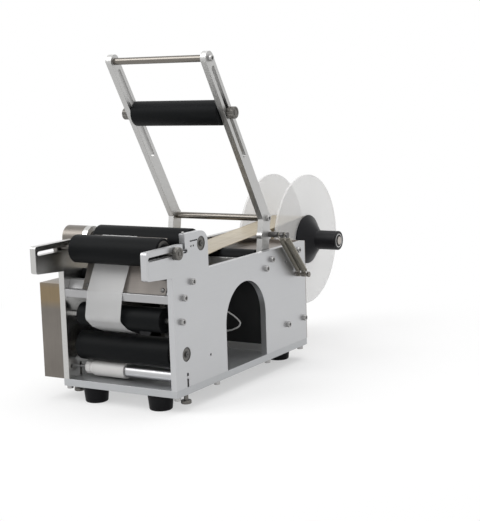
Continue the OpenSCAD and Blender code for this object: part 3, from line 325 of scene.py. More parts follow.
@dataclass(frozen=True)
class Brushed:
    """Stainless sheet with a brushed grain, and a painted golden reflection round a spot where one is given.
    """

    name: str
    colour: Colour = (0.30, 0.27, 0.245)
    roughness: float = 0.34
    metallic: float = 0.85
    grain: Grain = Grain.BACK
    blotch: float = 0.3
    stain: Colour = (0.30, 0.27, 0.245)
    # A painted golden reflection: a warm tint that fades out from a spot over its reach.
    painted_reflection: Colour = (0.27, 0.20, 0.11)
    reflection_at: Optional[Spot] = None
    reflection_reach: tuple[float, float] = (40 * MM, 24 * MM)
    edge: float = 0.5 * MM
    line_detail: tuple = (4, 0.65)
    cloud: Noise = ((7, 7, 7), 3)
    smear: Noise = ((26, 18, 26), 4, 0.6)
    level: float = 0.78
    line_tone: float = 0.5
    cloud_level: float = 0.4
    stain_from: tuple = (0.45, 4.0)
    reflection_gain: float = 1.6
    reflection_share: float = 0.85
    shade: float = 0.35
    line_rough: float = 0.22
    smear_rough: float = 0.16
    depth: float = 0.015 * MM

    def build(self) -> bpy.types.Material:
        """Makes the material."""
        g = Graph(self.name)
        line = g.noise(self.grain.value, *self.line_detail)
        cloud, smear = g.noise(*self.cloud), g.noise(*self.smear)
        tone = self.level + line.swing(self.line_tone) + (cloud - self.cloud_level) * self.blotch
        tone = tone + smear.swing(self.blotch)
        body = g.mix(cloud.above(*self.stain_from), self.colour, self.stain)
        # Painted reflection: the colour turns warm and golden near the given spot.
        if self.reflection_at is not None:
            away = g.distance((0, *(1 / reach for reach in self.reflection_reach)), self.reflection_at)
            reflection_mask = ((1.0 - away) * self.reflection_gain).clamped() * self.reflection_share
            body = g.mix(reflection_mask, body, self.painted_reflection)
        return g.finish(
            Base_Color=g.shaded(tone.clamped(), self.shade, self.colour, body),
            Metallic=self.metallic,
            Roughness=self.roughness + line.swing(self.line_rough) + smear.swing(self.smear_rough),
            Normal=g.bump(line, self.depth, g.rounded(self.edge)),
        )


@dataclass(frozen=True)
class Turned:
    """Steel turned on a lathe about a line along X."""

    name: str
    colour: Colour = (0.46, 0.43, 0.40)
    roughness: float = 0.26
    metallic: float = 0.95
    rings: float = 2600.0
    edge: float = 0.3 * MM
    ring_across: tuple = (3, 3)
    ring_detail: tuple = (3, 0.7)
    stain: Noise = ((30, 60, 60), 3)
    level: float = 0.8
    ring_tone: float = 0.35
    stain_tone: float = 0.3
    shade: float = 0.3
    ring_rough: float = 0.2
    stain_rough: float = 0.12
    depth: float = 0.004 * MM

    def build(self) -> bpy.types.Material:
        """Makes the material."""
        g = Graph(self.name)
        ring = g.noise((self.rings, *self.ring_across), *self.ring_detail)
        stain = g.noise(*self.stain)
        tone = self.level + ring.swing(self.ring_tone) + stain.swing(self.stain_tone)
        return g.finish(
            Base_Color=g.shaded(tone.clamped(), self.shade, self.colour),
            Metallic=self.metallic,
            Roughness=self.roughness + ring.swing(self.ring_rough) + stain.swing(self.stain_rough),
            Normal=g.bump(ring, self.depth, g.rounded(self.edge)),
        )


@dataclass(frozen=True)
class Rubber:
    """Black moulded or ground rubber."""

    name: str
    colour: Colour = (0.0052, 0.0058, 0.0063)
    roughness: float = 0.5
    dust: float = 0.03
    edge: float = 0.6 * MM
    pore: Noise = ((1900, 1900, 1900), 3, 0.6)
    scuff: Noise = ((12, 60, 60), 5, 0.7)
    scuff_from: tuple = (0.52, 3.0)
    paler: float = 0.16
    uneven: float = 0.14
    specular: float = 0.07
    depth: float = 0.03 * MM

    def build(self) -> bpy.types.Material:
        """Makes the material."""
        g = Graph(self.name)
        pore, scuff = g.noise(*self.pore), g.noise(*self.scuff)
        film = scuff.above(*self.scuff_from) * self.dust
        pale = tuple(min(1.0, c + self.paler) for c in self.colour)
        return g.finish(
            Base_Color=g.mix(film, self.colour, pale),
            Roughness=self.roughness + pore.swing(self.uneven) + scuff.swing(self.uneven),
            Specular_IOR_Level=self.specular,
            Normal=g.bump(pore, self.depth, g.rounded(self.edge)),
        )


@dataclass(frozen=True)
class Moulded:
    """Moulded plastic with a fine eroded skin."""

    name: str
    colour: Colour = (0.006, 0.006, 0.0075)
    roughness: float = 0.38
    coat: float = 0.0
    edge: float = 0.5 * MM
    skin: Noise = ((2200, 2200, 2200), 2)
    cloud: Noise = ((20, 20, 20), 3)
    cloud_level: float = 0.3
    pale_times: float = 1.25
    pale_more: float = 0.01
    skin_rough: float = 0.12
    cloud_rough: float = 0.1
    specular: float = 0.16
    depth: float = 0.025 * MM

    def build(self) -> bpy.types.Material:
        """Makes the material."""
        g = Graph(self.name)
        skin, cloud = g.noise(*self.skin), g.noise(*self.cloud)
        pale = tuple(min(1.0, c * self.pale_times + self.pale_more) for c in self.colour)
        return g.finish(
            Base_Color=g.mix((cloud - self.cloud_level).clamped(), self.colour, pale),
            Roughness=self.roughness + skin.swing(self.skin_rough) + cloud.swing(self.cloud_rough),
            Coat_Weight=self.coat,
            Specular_IOR_Level=self.specular,
            Normal=g.bump(skin, self.depth, g.rounded(self.edge)),
        )


@dataclass(frozen=True)
class Frosted:
    """Frosted acrylic sheet."""

    name: str
    colour: Colour = (0.82, 0.815, 0.81)
    alpha: float = 0.46
    roughness: float = 0.5
    edge: float = 0.4 * MM
    frost: Noise = ((1600, 1600, 1600), 2)
    cloud: Noise = ((14, 14, 14), 3)
    shade: float = 0.9
    uneven: float = 0.2
    depth: float = 0.02 * MM

    def build(self) -> bpy.types.Material:
        """Makes the material."""
        g = Graph(self.name)
        frost, cloud = g.noise(*self.frost), g.noise(*self.cloud)
        return g.finish(
            Base_Color=g.shaded(cloud, self.shade, self.colour),
            Roughness=self.roughness + frost.swing(self.uneven),
            Alpha=self.alpha,
            Normal=g.bump(frost, self.depth, g.rounded(self.edge)),
        )


@dataclass(frozen=True)
class Paper:
    """Coated or glazed paper, flat or wound."""

    name: str
    colour: Colour
    roughness: float = 0.5
    alpha: float = 1.0
    wound_about: Optional[Spot] = None
    turns: float = 5200.0
    cloud: Noise = ((16, 16, 16), 2)
    crease: Noise = ((55, 9, 9), 3, 0.6)
    level: float = 0.84
    fine_tone: float = 0.16
    cloud_tone: float = 0.14
    ring_tone: float = 0.5
    ring_height: float = 0.6
    shade: float = 0.6
    uneven: float = 0.15
    depth: float = 0.03 * MM

    def build(self) -> bpy.types.Material:
        """Makes the material."""
        g = Graph(self.name)
        fibre = g.noise(*FIBRE)
        cloud, crease = g.noise(*self.cloud), g.noise(*self.crease)
        tone = self.level + fibre.swing(self.fine_tone) + cloud * self.cloud_tone
        tone = tone + crease.swing(self.fine_tone)
        height = fibre
        if self.wound_about is not None:
            ring = g.rings(self.wound_about, self.turns)
            tone = tone + ring.swing(self.ring_tone)
            height = fibre * (1.0 - self.ring_height) + ring * self.ring_height
        return g.finish(
            Base_Color=g.shaded(tone.clamped(), self.shade, self.colour),
            Roughness=self.roughness + fibre.swing(self.uneven),
            Alpha=self.alpha,
            Normal=g.bump(height, self.depth),
        )


@dataclass(frozen=True)
class LabelStock:
    """The web of plain die-cut labels on their backing, with painted shade along its side edges."""

    name: str
    middle: float
    half: float
    backing: Colour = (0.34, 0.285, 0.19)
    label: Colour = (0.38, 0.33, 0.24)
    worn: Colour = (0.20, 0.145, 0.08)
    tint: Colour = (0.44, 0.365, 0.25)
    # The rim colour is a painted shade that darkens the web towards its side edges.
    rim: Colour = (0.20, 0.15, 0.09)
    pitch: float = 46 * MM
    gap: float = 3 * MM
    margin: float = 3.5 * MM
    fade: float = 2.5 * MM
    streak: Noise = ((260, 9, 40), 4, 0.7)
    stain: Noise = ((22, 12, 12), 3)
    bare_share: float = 0.45
    label_share: float = 0.5
    worn_from: tuple = (0.42, 2.6)
    worn_share: float = 0.6
    tint_from: tuple = (0.5, 2.0)
    tint_share: float = 0.4
    edge_shade_share: float = 0.5
    roughness: float = 0.42
    uneven: float = 0.2
    gloss: float = 0.08
    label_height: float = 0.8
    depth: float = 0.08 * MM

    def build(self) -> bpy.types.Material:
        """Makes the material."""
        g = Graph(self.name)
        place = g.place()
        along = g.node("ShaderNodeSeparateXYZ", inputs={0: place}, output="Y")
        across = g.node("ShaderNodeSeparateXYZ", inputs={0: place}, output="X")
        step = (along / self.pitch).maths("FRACT")
        off = (across - self.middle).maths("ABSOLUTE")
        inside = (step > self.gap / self.pitch) * (self.half - self.margin - off > 0.0)
        streak = g.noise(*self.streak)
        fibre = g.noise(*FIBRE)
        stain = g.noise(*self.stain)
        # Painted shade: the web darkens towards its side edges over the fade width.
        edge = ((off - (self.half - self.fade)) / self.fade).clamped()
        sheet = g.mix(self.bare_share + inside * self.label_share, self.backing, self.label)
        worn = g.mix(streak.above(*self.worn_from) * self.worn_share, sheet, self.worn)
        tinted = g.mix(stain.above(*self.tint_from) * self.tint_share, worn, self.tint)
        height = inside * self.label_height + fibre * (1.0 - self.label_height)
        return g.finish(
            Base_Color=g.mix(edge * self.edge_shade_share, tinted, self.rim),
            Roughness=self.roughness + fibre.swing(self.uneven) - inside * self.gloss,
            Normal=g.bump(height, self.depth),
        )


class Finishes:
    """The finish of every CAD node. A finish without nodes is for the pieces alone."""

    def __init__(self, frame: dict) -> None:
        """Keeps the frame whose nodes are dressed.
        """
        self.nodes = frame["nodes"]
        self.made: dict[str, bpy.types.Material] = {}
        low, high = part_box("label_web")
        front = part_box("drive_cover")[0].y
        self.table = {
            Anodised("anodised"): "right_side_plate",
            Anodised("rolled_plate", (0.53, 0.528, 0.515), 0.28, 1.0): "left_side_plate",
            Anodised("base_aluminium", (0.45, 0.46, 0.47), 0.34, 0.8): "base_plate",
            Anodised("satin_bar", (0.51, 0.508, 0.50), 0.4):
                "stay_bar rear_stays panel_strip reel_arm right_arm left_arm",
            Anodised("cross_bar", (0.40, 0.40, 0.405), 0.45): "crossbar peel_rail",
            Brushed("stainless_sheet"): "box_lid rear_cover",
            # The drive cover carries a painted golden reflection near its top.
            Brushed(
                "cover_sheet", (0.205, 0.187, 0.168), 0.36, grain=Grain.UP, blotch=0.45,
                stain=(0.27, 0.245, 0.215), reflection_at=(0.0, front, 168 * MM),
            ): "drive_cover",
            Brushed("peel_sheet", (0.115, 0.106, 0.098), 0.52, 0.6, Grain.ACROSS): "peel_plate",
            Turned("turned_steel"):
                "fixed_axles reel_shaft rear_axle traction_axle bearings front_axle press_axle",
            Turned("drawn_rod", (0.21, 0.195, 0.175), 0.22, rings=40.0): "arm_rods lower_spring_stud",
            Turned("knob_steel", (0.17, 0.163, 0.152), 0.34): "",
            Turned("screw_steel", (0.46, 0.455, 0.45), 0.24):
                "frame_screws cover_bolts arm_screws small_screws",
            Turned("bright_steel", (0.56, 0.555, 0.55), 0.2): "motor_pulley",
            Anodised("tube_aluminium", (0.46, 0.46, 0.47), 0.33): "take_up_tube",
            Turned("dark_steel", (0.12, 0.118, 0.115), 0.34):
                "upper_spring_stud take_up_axle thumb_screws front_core",
            Turned("spring_wire", (0.25, 0.235, 0.20), 0.3, rings=300.0):
                "spring_coils lower_hooks upper_hooks",
            Rubber("roller_rubber"):
                "rear_roller traction_roller front_roller press_roller idler_roller web_idler pivot_roller",
            Rubber("foot_rubber", (0.009, 0.009, 0.010), 0.45): "rubber_feet drive_belts",
            Moulded("black_plastic"): "power_inlet switch_housing label_sensor reel_hub",
            Moulded("panel_black", (0.018, 0.0185, 0.019)): "box_panel",
            # The cable is black; its light grey colour is a painted highlight along the whole loop.
            Moulded("cable_grey", (0.60, 0.60, 0.59), 0.28): "wiring_loop",
            Moulded("white_plastic", (0.66, 0.65, 0.64), 0.4): "",
            Moulded("motor_paint", (0.05, 0.05, 0.055)): "drive_motor",
            Moulded("board_green", (0.02, 0.10, 0.05)): "control_board",
            Moulded("switch_red", (0.55, 0.012, 0.016), coat=0.4): "rocker_key",
            Frosted("frosted_acrylic"): "reel_discs",
            LabelStock("label_stock", (low.x + high.x) / 2, (high.x - low.x) / 2): "label_web",
            Paper("label_winding", (0.50, 0.42, 0.29), wound_about=self.middle("label_roll")): "label_roll",
            Paper("liner_stock", (0.70, 0.70, 0.70), 0.4, 0.5): "liner_web",
            Paper("liner_winding", (0.60, 0.59, 0.58), 0.4, wound_about=self.middle("liner_roll")):
                "liner_roll",
        }

    @staticmethod
    def middle(node: str) -> Spot:
        """The middle of a CAD node's box."""
        return tuple((a + b) / 2 for a, b in zip(*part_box(node)))

    def apply(self) -> None:
        """Gives each node its material."""
        for finish, names in self.table.items():
            material = finish.build()
            self.made[finish.name] = material
            for name in names.split():
                mesh = self.nodes[name].data
                mesh.materials.clear()
                mesh.materials.append(material)
            LOG.info("finish %s on: %s", finish.name, names or "pieces alone")
        left = [n for n, o in self.nodes.items() if not o.data.materials]
        if left:
            LOG.warning("no finish on %s", left)


class Axis(Enum):
    """The direction in which a round piece is drawn out."""

    X = (1.0, 0.0, 0.0)
    LEFT = (-1.0, 0.0, 0.0)
    Y = (0.0, 1.0, 0.0)
    FRONT = (0.0, -1.0, 0.0)
    UP = (0.0, 0.0, 1.0)
    DOWN = (0.0, 0.0, -1.0)


class Body(Enum):
    """The CAD bodies that pieces ride on."""

    FRAME = "frame"
    REEL = "reel"
    TRACTION = "traction"
    REAR = "rear_bottle_roller"
    CARRIAGE = "front_carriage"
    FRONT = "front_bottle_roller"
    LIFT = "take_up_carriage"
    TAKE_UP = "take_up"
    ARM = "press_arm"
    PRESS = "press_carriage"
    PRESS_ROLL = "press_roll"
    LINK = "spring_link"
    LINK_END = "spring_end"


class Crease(Enum):
    """The angle in degrees from which an edge stays crisp."""

    FACETS = 20.0
    KNOB = 25.0
    TURNED = 30.0
    USUAL = 35.0
    THUMB = 40.0
    WIRE = 60.0


@dataclass
class Part:
    """A sub-assembly, modelled with operators as by hand.

    Places and sizes are in millimetres in the frame of the side plates: x from the middle, y from the
    front edge, z from the base. A round piece is given by its rims: for each one how far along the
    piece's axis it lies and its radius.
    """

    origin: Vector
    finishes: dict[str, bpy.types.Material]

    def at(self, x: float, y: float, z: float) -> Vector:
        """The place in the row's frame, in metres, of a point in millimetres."""
        return self.origin + Vector((x, y, z)) * MM

    @staticmethod
    def clear() -> None:
        """Leaves edit mode with nothing selected."""
        if bpy.context.mode != "OBJECT":
            bpy.ops.object.mode_set(mode="OBJECT")
        bpy.ops.object.select_all(action="DESELECT")

    def hold(self, *pieces: Piece) -> None:
        """Selects pieces alone and makes the first one active.

        Args:
            pieces: The pieces.
        """
        self.clear()
        for piece in pieces:
            piece.select_set(True)
        bpy.context.view_layer.objects.active = pieces[0]

    @staticmethod
    def opened() -> Piece:
        """Applies the active piece's place and opens it with everything selected.

        Returns:
            The active piece.
        """
        bpy.ops.object.transform_apply(location=True, rotation=True, scale=True)
        bpy.ops.object.mode_set(mode="EDIT")
        bpy.ops.mesh.select_all(action="SELECT")
        return bpy.context.active_object

    def closed(self) -> None:
        """Turns the open piece's faces outward and leaves edit mode."""
        bpy.ops.mesh.select_all(action="SELECT")
        bpy.ops.mesh.normals_make_consistent(inside=False)
        self.clear()

    def turned(self, base: Vector, rims: Rims, axis: Axis = Axis.X, sides: int = 64) -> Piece:
        """Models a round piece by drawing a disc out and scaling it at each rim.

        Args:
            base: The point on the axis from which the rims are measured.
            rims: The rims, in order.
            axis: The direction of the axis.
            sides: The number of sides of each rim.

        Returns:
            The closed piece.
        """
        self.clear()
        along = Vector(axis.value)
        first, radius = rims[0]
        bpy.ops.mesh.primitive_circle_add(
            vertices=sides, radius=radius * MM, fill_type="NGON", location=base + along * first * MM,
            rotation=along.to_track_quat("Z", "Y").to_euler(),
        )
        piece = self.opened()
        for (before, small), (after, large) in zip(rims, rims[1:]):
            bpy.ops.mesh.extrude_region_move(
                TRANSFORM_OT_translate={"value": along * (after - before) * MM}
            )
            bpy.ops.transform.resize(
                value=(large / small,) * 3, center_override=base + along * after * MM
            )
        self.closed()
        return piece

    @staticmethod
    def rounding(place: float, radius: float, edge: float, first: bool, parts: int = 4) -> Rims:
        """The rims of a bar's rounded edge.

        Args:
            place: Where along its axis the bar starts or ends.
            radius: The bar's radius.
            edge: The radius of the rounding.
            first: Whether the bar starts there.
            parts: The parts of the rounding.

        Returns:
            The rims.
        """
        turns = [math.pi / 2 * i / parts for i in range(parts + 1)]
        if first:
            return [(place + edge - edge * math.cos(a), radius - edge + edge * math.sin(a)) for a in turns]
        return [(place - edge + edge * math.sin(a), radius - edge + edge * math.cos(a)) for a in turns]

    def block(self, low: Point, high: Point, edge: float, segments: int) -> Piece:
        """Models a box with rounded edges.

        Args:
            low: Its lowest corner.
            high: Its highest corner.
            edge: The radius of its edges.
            segments: The segments of each rounded edge.

        Returns:
            The closed piece.
        """
        self.clear()
        a, b = self.at(*low), self.at(*high)
        bpy.ops.mesh.primitive_cube_add(size=1.0, location=(a + b) / 2)
        bpy.context.active_object.scale = b - a
        piece = self.opened()
        bpy.ops.mesh.bevel(offset=edge * MM, segments=segments, affect="EDGES")
        self.clear()
        return piece

    def knurl(self, piece: Piece, centre: Vector, axis: Axis, radius: float) -> None:
        """Draws every fourth edge of a round rim inwards.

        Args:
            piece: The round piece.
            centre: A point on its axis.
            axis: Its axis.
            radius: Only points further out than this are moved.
        """
        self.hold(piece)
        along = Vector(axis.value)
        across = along.orthogonal().normalized()
        other = along.cross(across)
        bpy.ops.object.mode_set(mode="EDIT")
        bpy.ops.mesh.select_mode(type="VERT")
        bpy.ops.mesh.select_all(action="DESELECT")
        mesh = bmesh.from_edit_mesh(piece.data)
        outer = []
        for vert in mesh.verts:
            out = vert.co - centre
            place = Vector((out.dot(across), out.dot(other)))
            if place.length > radius * MM:
                outer.append((round(math.atan2(place.y, place.x), 4), vert))
        chosen = set(sorted({turn for turn, _ in outer})[::KNURL_EVERY])
        for turn, vert in outer:
            vert.select_set(turn in chosen)
        mesh.select_flush_mode()
        bmesh.update_edit_mesh(piece.data)
        size = [1.0 if c else KNURL_SHARE for c in axis.value]
        bpy.ops.transform.resize(value=size, center_override=centre)
        self.clear()

    def cut(self, piece: Piece, cutter: Piece) -> Piece:
        """Takes a cutter's shape out of a piece and throws the cutter away.

        Args:
            piece: The piece.
            cutter: The closed piece whose shape is taken out.

        Returns:
            The same piece.
        """
        self.hold(piece)
        tool = piece.modifiers.new("cut", "BOOLEAN")
        tool.operation, tool.solver, tool.object = "DIFFERENCE", "EXACT", cutter
        bpy.ops.object.modifier_apply(modifier=tool.name)
        bpy.data.objects.remove(cutter)
        return piece

    def wire(self, points: Sequence[Vector], radius: float) -> Piece:
        """Bends a round wire along points.

        Args:
            points: The points of its middle line in metres.
            radius: Its radius.

        Returns:
            The wire as a mesh.
        """
        data = bpy.data.curves.new("wire", "CURVE")
        data.dimensions = "3D"
        data.resolution_u = WIRE_STEPS
        data.bevel_depth = radius * MM
        data.bevel_resolution = WIRE_ROUNDNESS
        data.use_fill_caps = True
        line = data.splines.new("BEZIER")
        line.bezier_points.add(len(points) - 1)
        for knot, point in zip(line.bezier_points, points):
            knot.co = point
            knot.handle_left_type = knot.handle_right_type = "AUTO"
        piece = bpy.data.objects.new("wire", data)
        bpy.context.scene.collection.objects.link(piece)
        self.hold(piece)
        bpy.ops.object.convert(target="MESH")
        self.clear()
        return piece

    def copies(
        self, model: Piece, base: Vector, places: Sequence[Vector], flip_left: bool = False
    ) -> list[Piece]:
        """Copies a piece to other places, each copy with its own mesh.

        Args:
            model: The piece that is copied. It is removed.
            base: The model's own place.
            places: The places of the copies.
            flip_left: Whether the copies on the left face the other way, for a model at the origin.

        Returns:
            The copies.
        """
        made = []
        for place in places:
            twin = bpy.data.objects.new("copy", model.data.copy())
            matrix = Matrix.Translation(place - base)
            if flip_left and place.x < 0:
                matrix = matrix @ Matrix.Rotation(math.pi, 4, "Z")
            twin.data.transform(matrix)
            bpy.context.scene.collection.objects.link(twin)
            made.append(twin)
        bpy.data.objects.remove(model)
        return made

    def joined(self, pieces: Sequence[Piece]) -> Piece:
        """Joins pieces into one and leaves it selected.

        Args:
            pieces: The pieces. The first one takes up the others.

        Returns:
            The whole.
        """
        self.hold(*pieces)
        if len(pieces) > 1:
            bpy.ops.object.join()
        return bpy.context.active_object

    def done(
        self, name: str, pieces: Sequence[Piece], finish: str, body: Optional[Body], slot: str,
        stands_for: Sequence[str] = (), crease: Crease = Crease.USUAL,
    ) -> Piece:
        """Joins pieces into a finished one with its shading, material and body.

        Args:
            name: The finished piece's name.
            pieces: What it is joined from.
            finish: The name of its finish.
            body: The CAD body that carries it, or None to leave it on no body.
            slot: The record's material slot; not used.
            stands_for: CAD nodes that it is shown instead of.
            crease: Which edges stay crisp.

        Returns:
            The finished piece.
        """
        piece = self.joined(pieces)
        piece.name = name
        bpy.ops.object.shade_smooth_by_angle(angle=math.radians(crease.value))
        piece.data.materials.clear()
        piece.data.materials.append(self.finishes[finish])
        self.clear()
        if body is not None:
            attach(piece, body.value)
        if stands_for:
            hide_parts(*stands_for)
        LOG.info("piece %s: %d faces", piece.name, len(piece.data.polygons))
        return piece


@dataclass
class CapScrews(Part):
    """Socket head cap screws of the frame and of the press arm."""

    rims: Rims = (
        (-9.0, 3.0), (0.0, 3.0), (0.0, 4.85), (0.15, 5.0), (4.95, 5.0), (5.335, 4.835), (5.5, 4.45),
        (5.5, 3.363), (5.25, 2.95),
    )
    socket: Rims = ((2.5, 2.95), (6.5, 2.95))
    sides: int = 40
    outer_x: float = 105.0
    arm_x: float = 93.0
    base_z: float = -11.0
    base_x: float = 100.0
    base_y: tuple = (8.16, 118.32, 277.44, 391.68)
    side_points: tuple = (
        (26.5, 135.6), (50.0, 156.5), (19.0, 101.0), (291.0, 154.6), (271.5, 142.3),
        (382.0, 157.6), (340.2, 36.7), (397.8, 37.6),
    )
    left_point: tuple = (345.0, 163.0)
    arm_points: tuple = ((142.0, 483.6), (302.0, 221.1))

    def one(self, axis: Axis) -> Piece:
        """Models a screw at the origin whose head points along an axis."""
        screw = self.turned(Vector(), self.rims, axis, self.sides)
        return self.cut(screw, self.turned(Vector(), self.socket, axis, HEXAGON))

    def build(self) -> None:
        """Models the screws and puts them in their places."""
        side = [self.at(self.outer_x, *p) for p in self.side_points]
        side += [self.at(-self.outer_x, *p) for p in (*self.side_points, self.left_point)]
        under = [self.at(x, y, self.base_z) for x in (-self.base_x, self.base_x) for y in self.base_y]
        arm = [self.at(x, *p) for x in (self.arm_x, -self.arm_x) for p in self.arm_points]
        made = self.copies(self.one(Axis.X), Vector(), side, True)
        made += self.copies(self.one(Axis.DOWN), Vector(), under)
        self.done("frame_cap_screws", made, "screw_steel", Body.FRAME, "dark_screw", ["frame_screws"])
        made = self.copies(self.one(Axis.X), Vector(), arm, True)
        self.done("arm_cap_screws", made, "screw_steel", Body.ARM, "dark_screw", ["arm_screws"])


@dataclass
class Carriages(Part):
    """The axles that clamp the front and the press roller, each with two knurled knobs."""

    rod_sides: int = 40
    knob_sides: int = 96
    knurl_from: float = 9.3
    table: tuple = (
        ("front_clamp", "front_axle", Body.CARRIAGE, FRONT_LINE, 105.3, 3.0, (
            (0.0, 8.1), (0.0, 8.7), (0.8, 9.5), (7.2, 9.5), (7.76, 9.18), (8.0, 8.2), (8.0, 6.2),
            (7.0, 5.7), (7.0, 3.0), (7.8, 3.0), (7.95, 2.6),
        )),
        ("press_clamp", "press_axle", Body.PRESS, PRESS_LINE, 93.3, 4.0, (
            (0.0, 8.1), (0.0, 8.7), (0.8, 9.5), (11.2, 9.5), (11.76, 9.18), (12.0, 8.2), (12.0, 6.6),
            (11.0, 6.1), (11.0, 4.0), (11.8, 4.0), (11.95, 3.6),
        )),
    )

    def build(self) -> None:
        """Models both carriages."""
        for name, node, body, line, face, axle_r, rims in self.table:
            rod = ((-face, axle_r), (face, axle_r))
            made = [self.turned(self.at(0, *line), rod, sides=self.rod_sides)]
            for x, axis in ((face, Axis.X), (-face, Axis.LEFT)):
                base = self.at(x, *line)
                made.append(self.turned(base, rims, axis, self.knob_sides))
                self.knurl(made[-1], base, axis, self.knurl_from)
            self.done(name, made, "knob_steel", body, "steel", [node], Crease.KNOB)


@dataclass
class Springs(Part):
    """The two return springs with their hooks."""

    lower: tuple = (380.0, 117.0)
    upper: tuple = (309.0, 193.1)
    places_x: tuple = (111.5, 122.5)
    wire_r: float = 0.7
    wire_sides: int = 10
    coil_r: float = 4.3
    curls: int = 40
    curl_steps: int = 18
    bend: tuple = ((1.0, 0.0), (0.62, 1.5), (0.1, 2.7))
    tip: float = 0.7
    eye_r: float = 4.7
    eye_offset: float = 1.9
    eye_steps: int = 24
    eye_turn: tuple = (8.0, 340.0)
    neck: float = 4.6

    @property
    def length(self) -> float:
        """The distance between the studs."""
        return math.dist(self.lower, self.upper)

    @property
    def start(self) -> float:
        """How far the coil begins from a stud."""
        return self.eye_offset + self.eye_r + self.neck

    def place(self, x: float) -> Matrix:
        """The place of a spring drawn upwards from the origin.

        Args:
            x: How far right the spring hangs.

        Returns:
            The matrix from the drawing to the row's frame.
        """
        dy, dz = (b - a for a, b in zip(self.lower, self.upper))
        turn = Matrix.Rotation(math.atan2(dz, dy) - math.pi / 2, 4, "X")
        return Matrix.Translation(self.at(x, *self.lower)) @ turn

    def coil(self, x: float) -> Piece:
        """Winds the coil of one spring.

        Args:
            x: How far right the spring hangs.

        Returns:
            The coil.
        """
        self.clear()
        bpy.ops.mesh.primitive_circle_add(
            vertices=self.wire_sides, radius=self.wire_r * MM, fill_type="NOTHING",
            location=(self.coil_r * MM, 0, self.start * MM), rotation=(math.pi / 2, 0, 0),
        )
        coil = bpy.context.active_object
        bpy.ops.object.transform_apply(location=True, rotation=True, scale=True)
        winding = coil.modifiers.new("winding", "SCREW")
        winding.axis = "Z"
        winding.steps = winding.render_steps = self.curl_steps
        winding.iterations = self.curls
        winding.screw_offset = (self.length - 2 * self.start) / self.curls * MM
        winding.use_merge_vertices = False
        bpy.ops.object.modifier_apply(modifier=winding.name)
        self.opened()
        bpy.ops.mesh.fill_holes(sides=0)
        self.closed()
        coil.data.transform(self.place(x))
        return coil

    def hook(self, x: float, top: bool) -> Piece:
        """Bends one end of a spring into an eye round its stud.

        Args:
            x: How far right the spring hangs.
            top: Whether it is the upper end.

        Returns:
            The hook.
        """
        line = [Vector((self.coil_r * share, 0, self.start - fall)) for share, fall in self.bend]
        line.append(Vector((0, 0, self.eye_offset + self.eye_r + self.tip)))
        begin, sweep = self.eye_turn
        for i in range(self.eye_steps + 1):
            turn = math.radians(begin + sweep * i / self.eye_steps)
            up = self.eye_offset + self.eye_r * math.cos(turn)
            line.append(Vector((0, self.eye_r * math.sin(turn), up)))
        if top:
            line = [Vector((p.x, p.y, self.length - p.z)) for p in line]
        matrix = self.place(x)
        return self.wire([matrix @ (p * MM) for p in line], self.wire_r)

    def build(self) -> None:
        """Models the springs. The coils ride on no body; the hooks ride on the bodies of their two ends."""
        finish, slot = "spring_wire", "spring_steel"
        made = [self.coil(x) for x in self.places_x]
        coils = self.done("spring_windings", made, finish, None, slot, ["spring_coils"], Crease.WIRE)
        axis = self.place(0)
        axis @ Vector((0, 0, self.start * MM))
        axis @ Vector((0, 0, (self.length - self.start) * MM))
        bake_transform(coils)
        for body, node in ((Body.LINK, "lower_hooks"), (Body.LINK_END, "upper_hooks")):
            made = [self.hook(x, body is Body.LINK_END) for x in self.places_x]
            self.done(f"{node}_bent", made, finish, body, slot, [node], Crease.WIRE)


@dataclass
class Rollers(Part):
    """The rubber rollers with rounded edges and recessed ends, and the core of the front one."""

    recess: float = 3.0
    flare: float = 0.1
    sides: int = 96
    edge: float = 1.6
    table: tuple = (
        ("rear_sleeve", "rear_roller", Body.REAR, REAR_LINE, -82.0, 90.0, 21.5, 18.0),
        ("traction_sleeve", "traction_roller", Body.TRACTION, TRACTION_LINE, -86.0, 86.0, 22.5, 19.0),
        ("front_sleeve", "front_roller", Body.FRONT, FRONT_LINE, -75.0, 85.0, 21.5, 18.0),
        ("press_sleeve", "press_roller", Body.PRESS_ROLL, PRESS_LINE, -81.5, 81.5, 20.0, 11.2),
    )
    core: Rims = (
        (-73.8, 11.0), (-73.8, 14.8), (-74.7, 15.2), (-74.7, 17.95), (84.7, 17.95), (84.7, 15.2),
        (83.8, 14.8), (83.8, 11.0),
    )

    def build(self) -> None:
        """Models the rollers and the core."""
        for name, node, body, line, start, end, radius, bore in self.table:
            rims = [
                (start + self.recess, bore), (start, bore + self.flare),
                *self.rounding(start, radius, self.edge, True),
                *self.rounding(end, radius, self.edge, False),
                (end, bore + self.flare), (end - self.recess, bore),
            ]
            sleeve = self.turned(self.at(0, *line), rims, sides=self.sides)
            self.done(name, [sleeve], "roller_rubber", body, "roller_rubber", [node])
        core = self.turned(self.at(0, *FRONT_LINE), self.core)
        self.done("front_core_turned", [core], "knob_steel", Body.FRONT, "roller_rubber", ["front_core"])


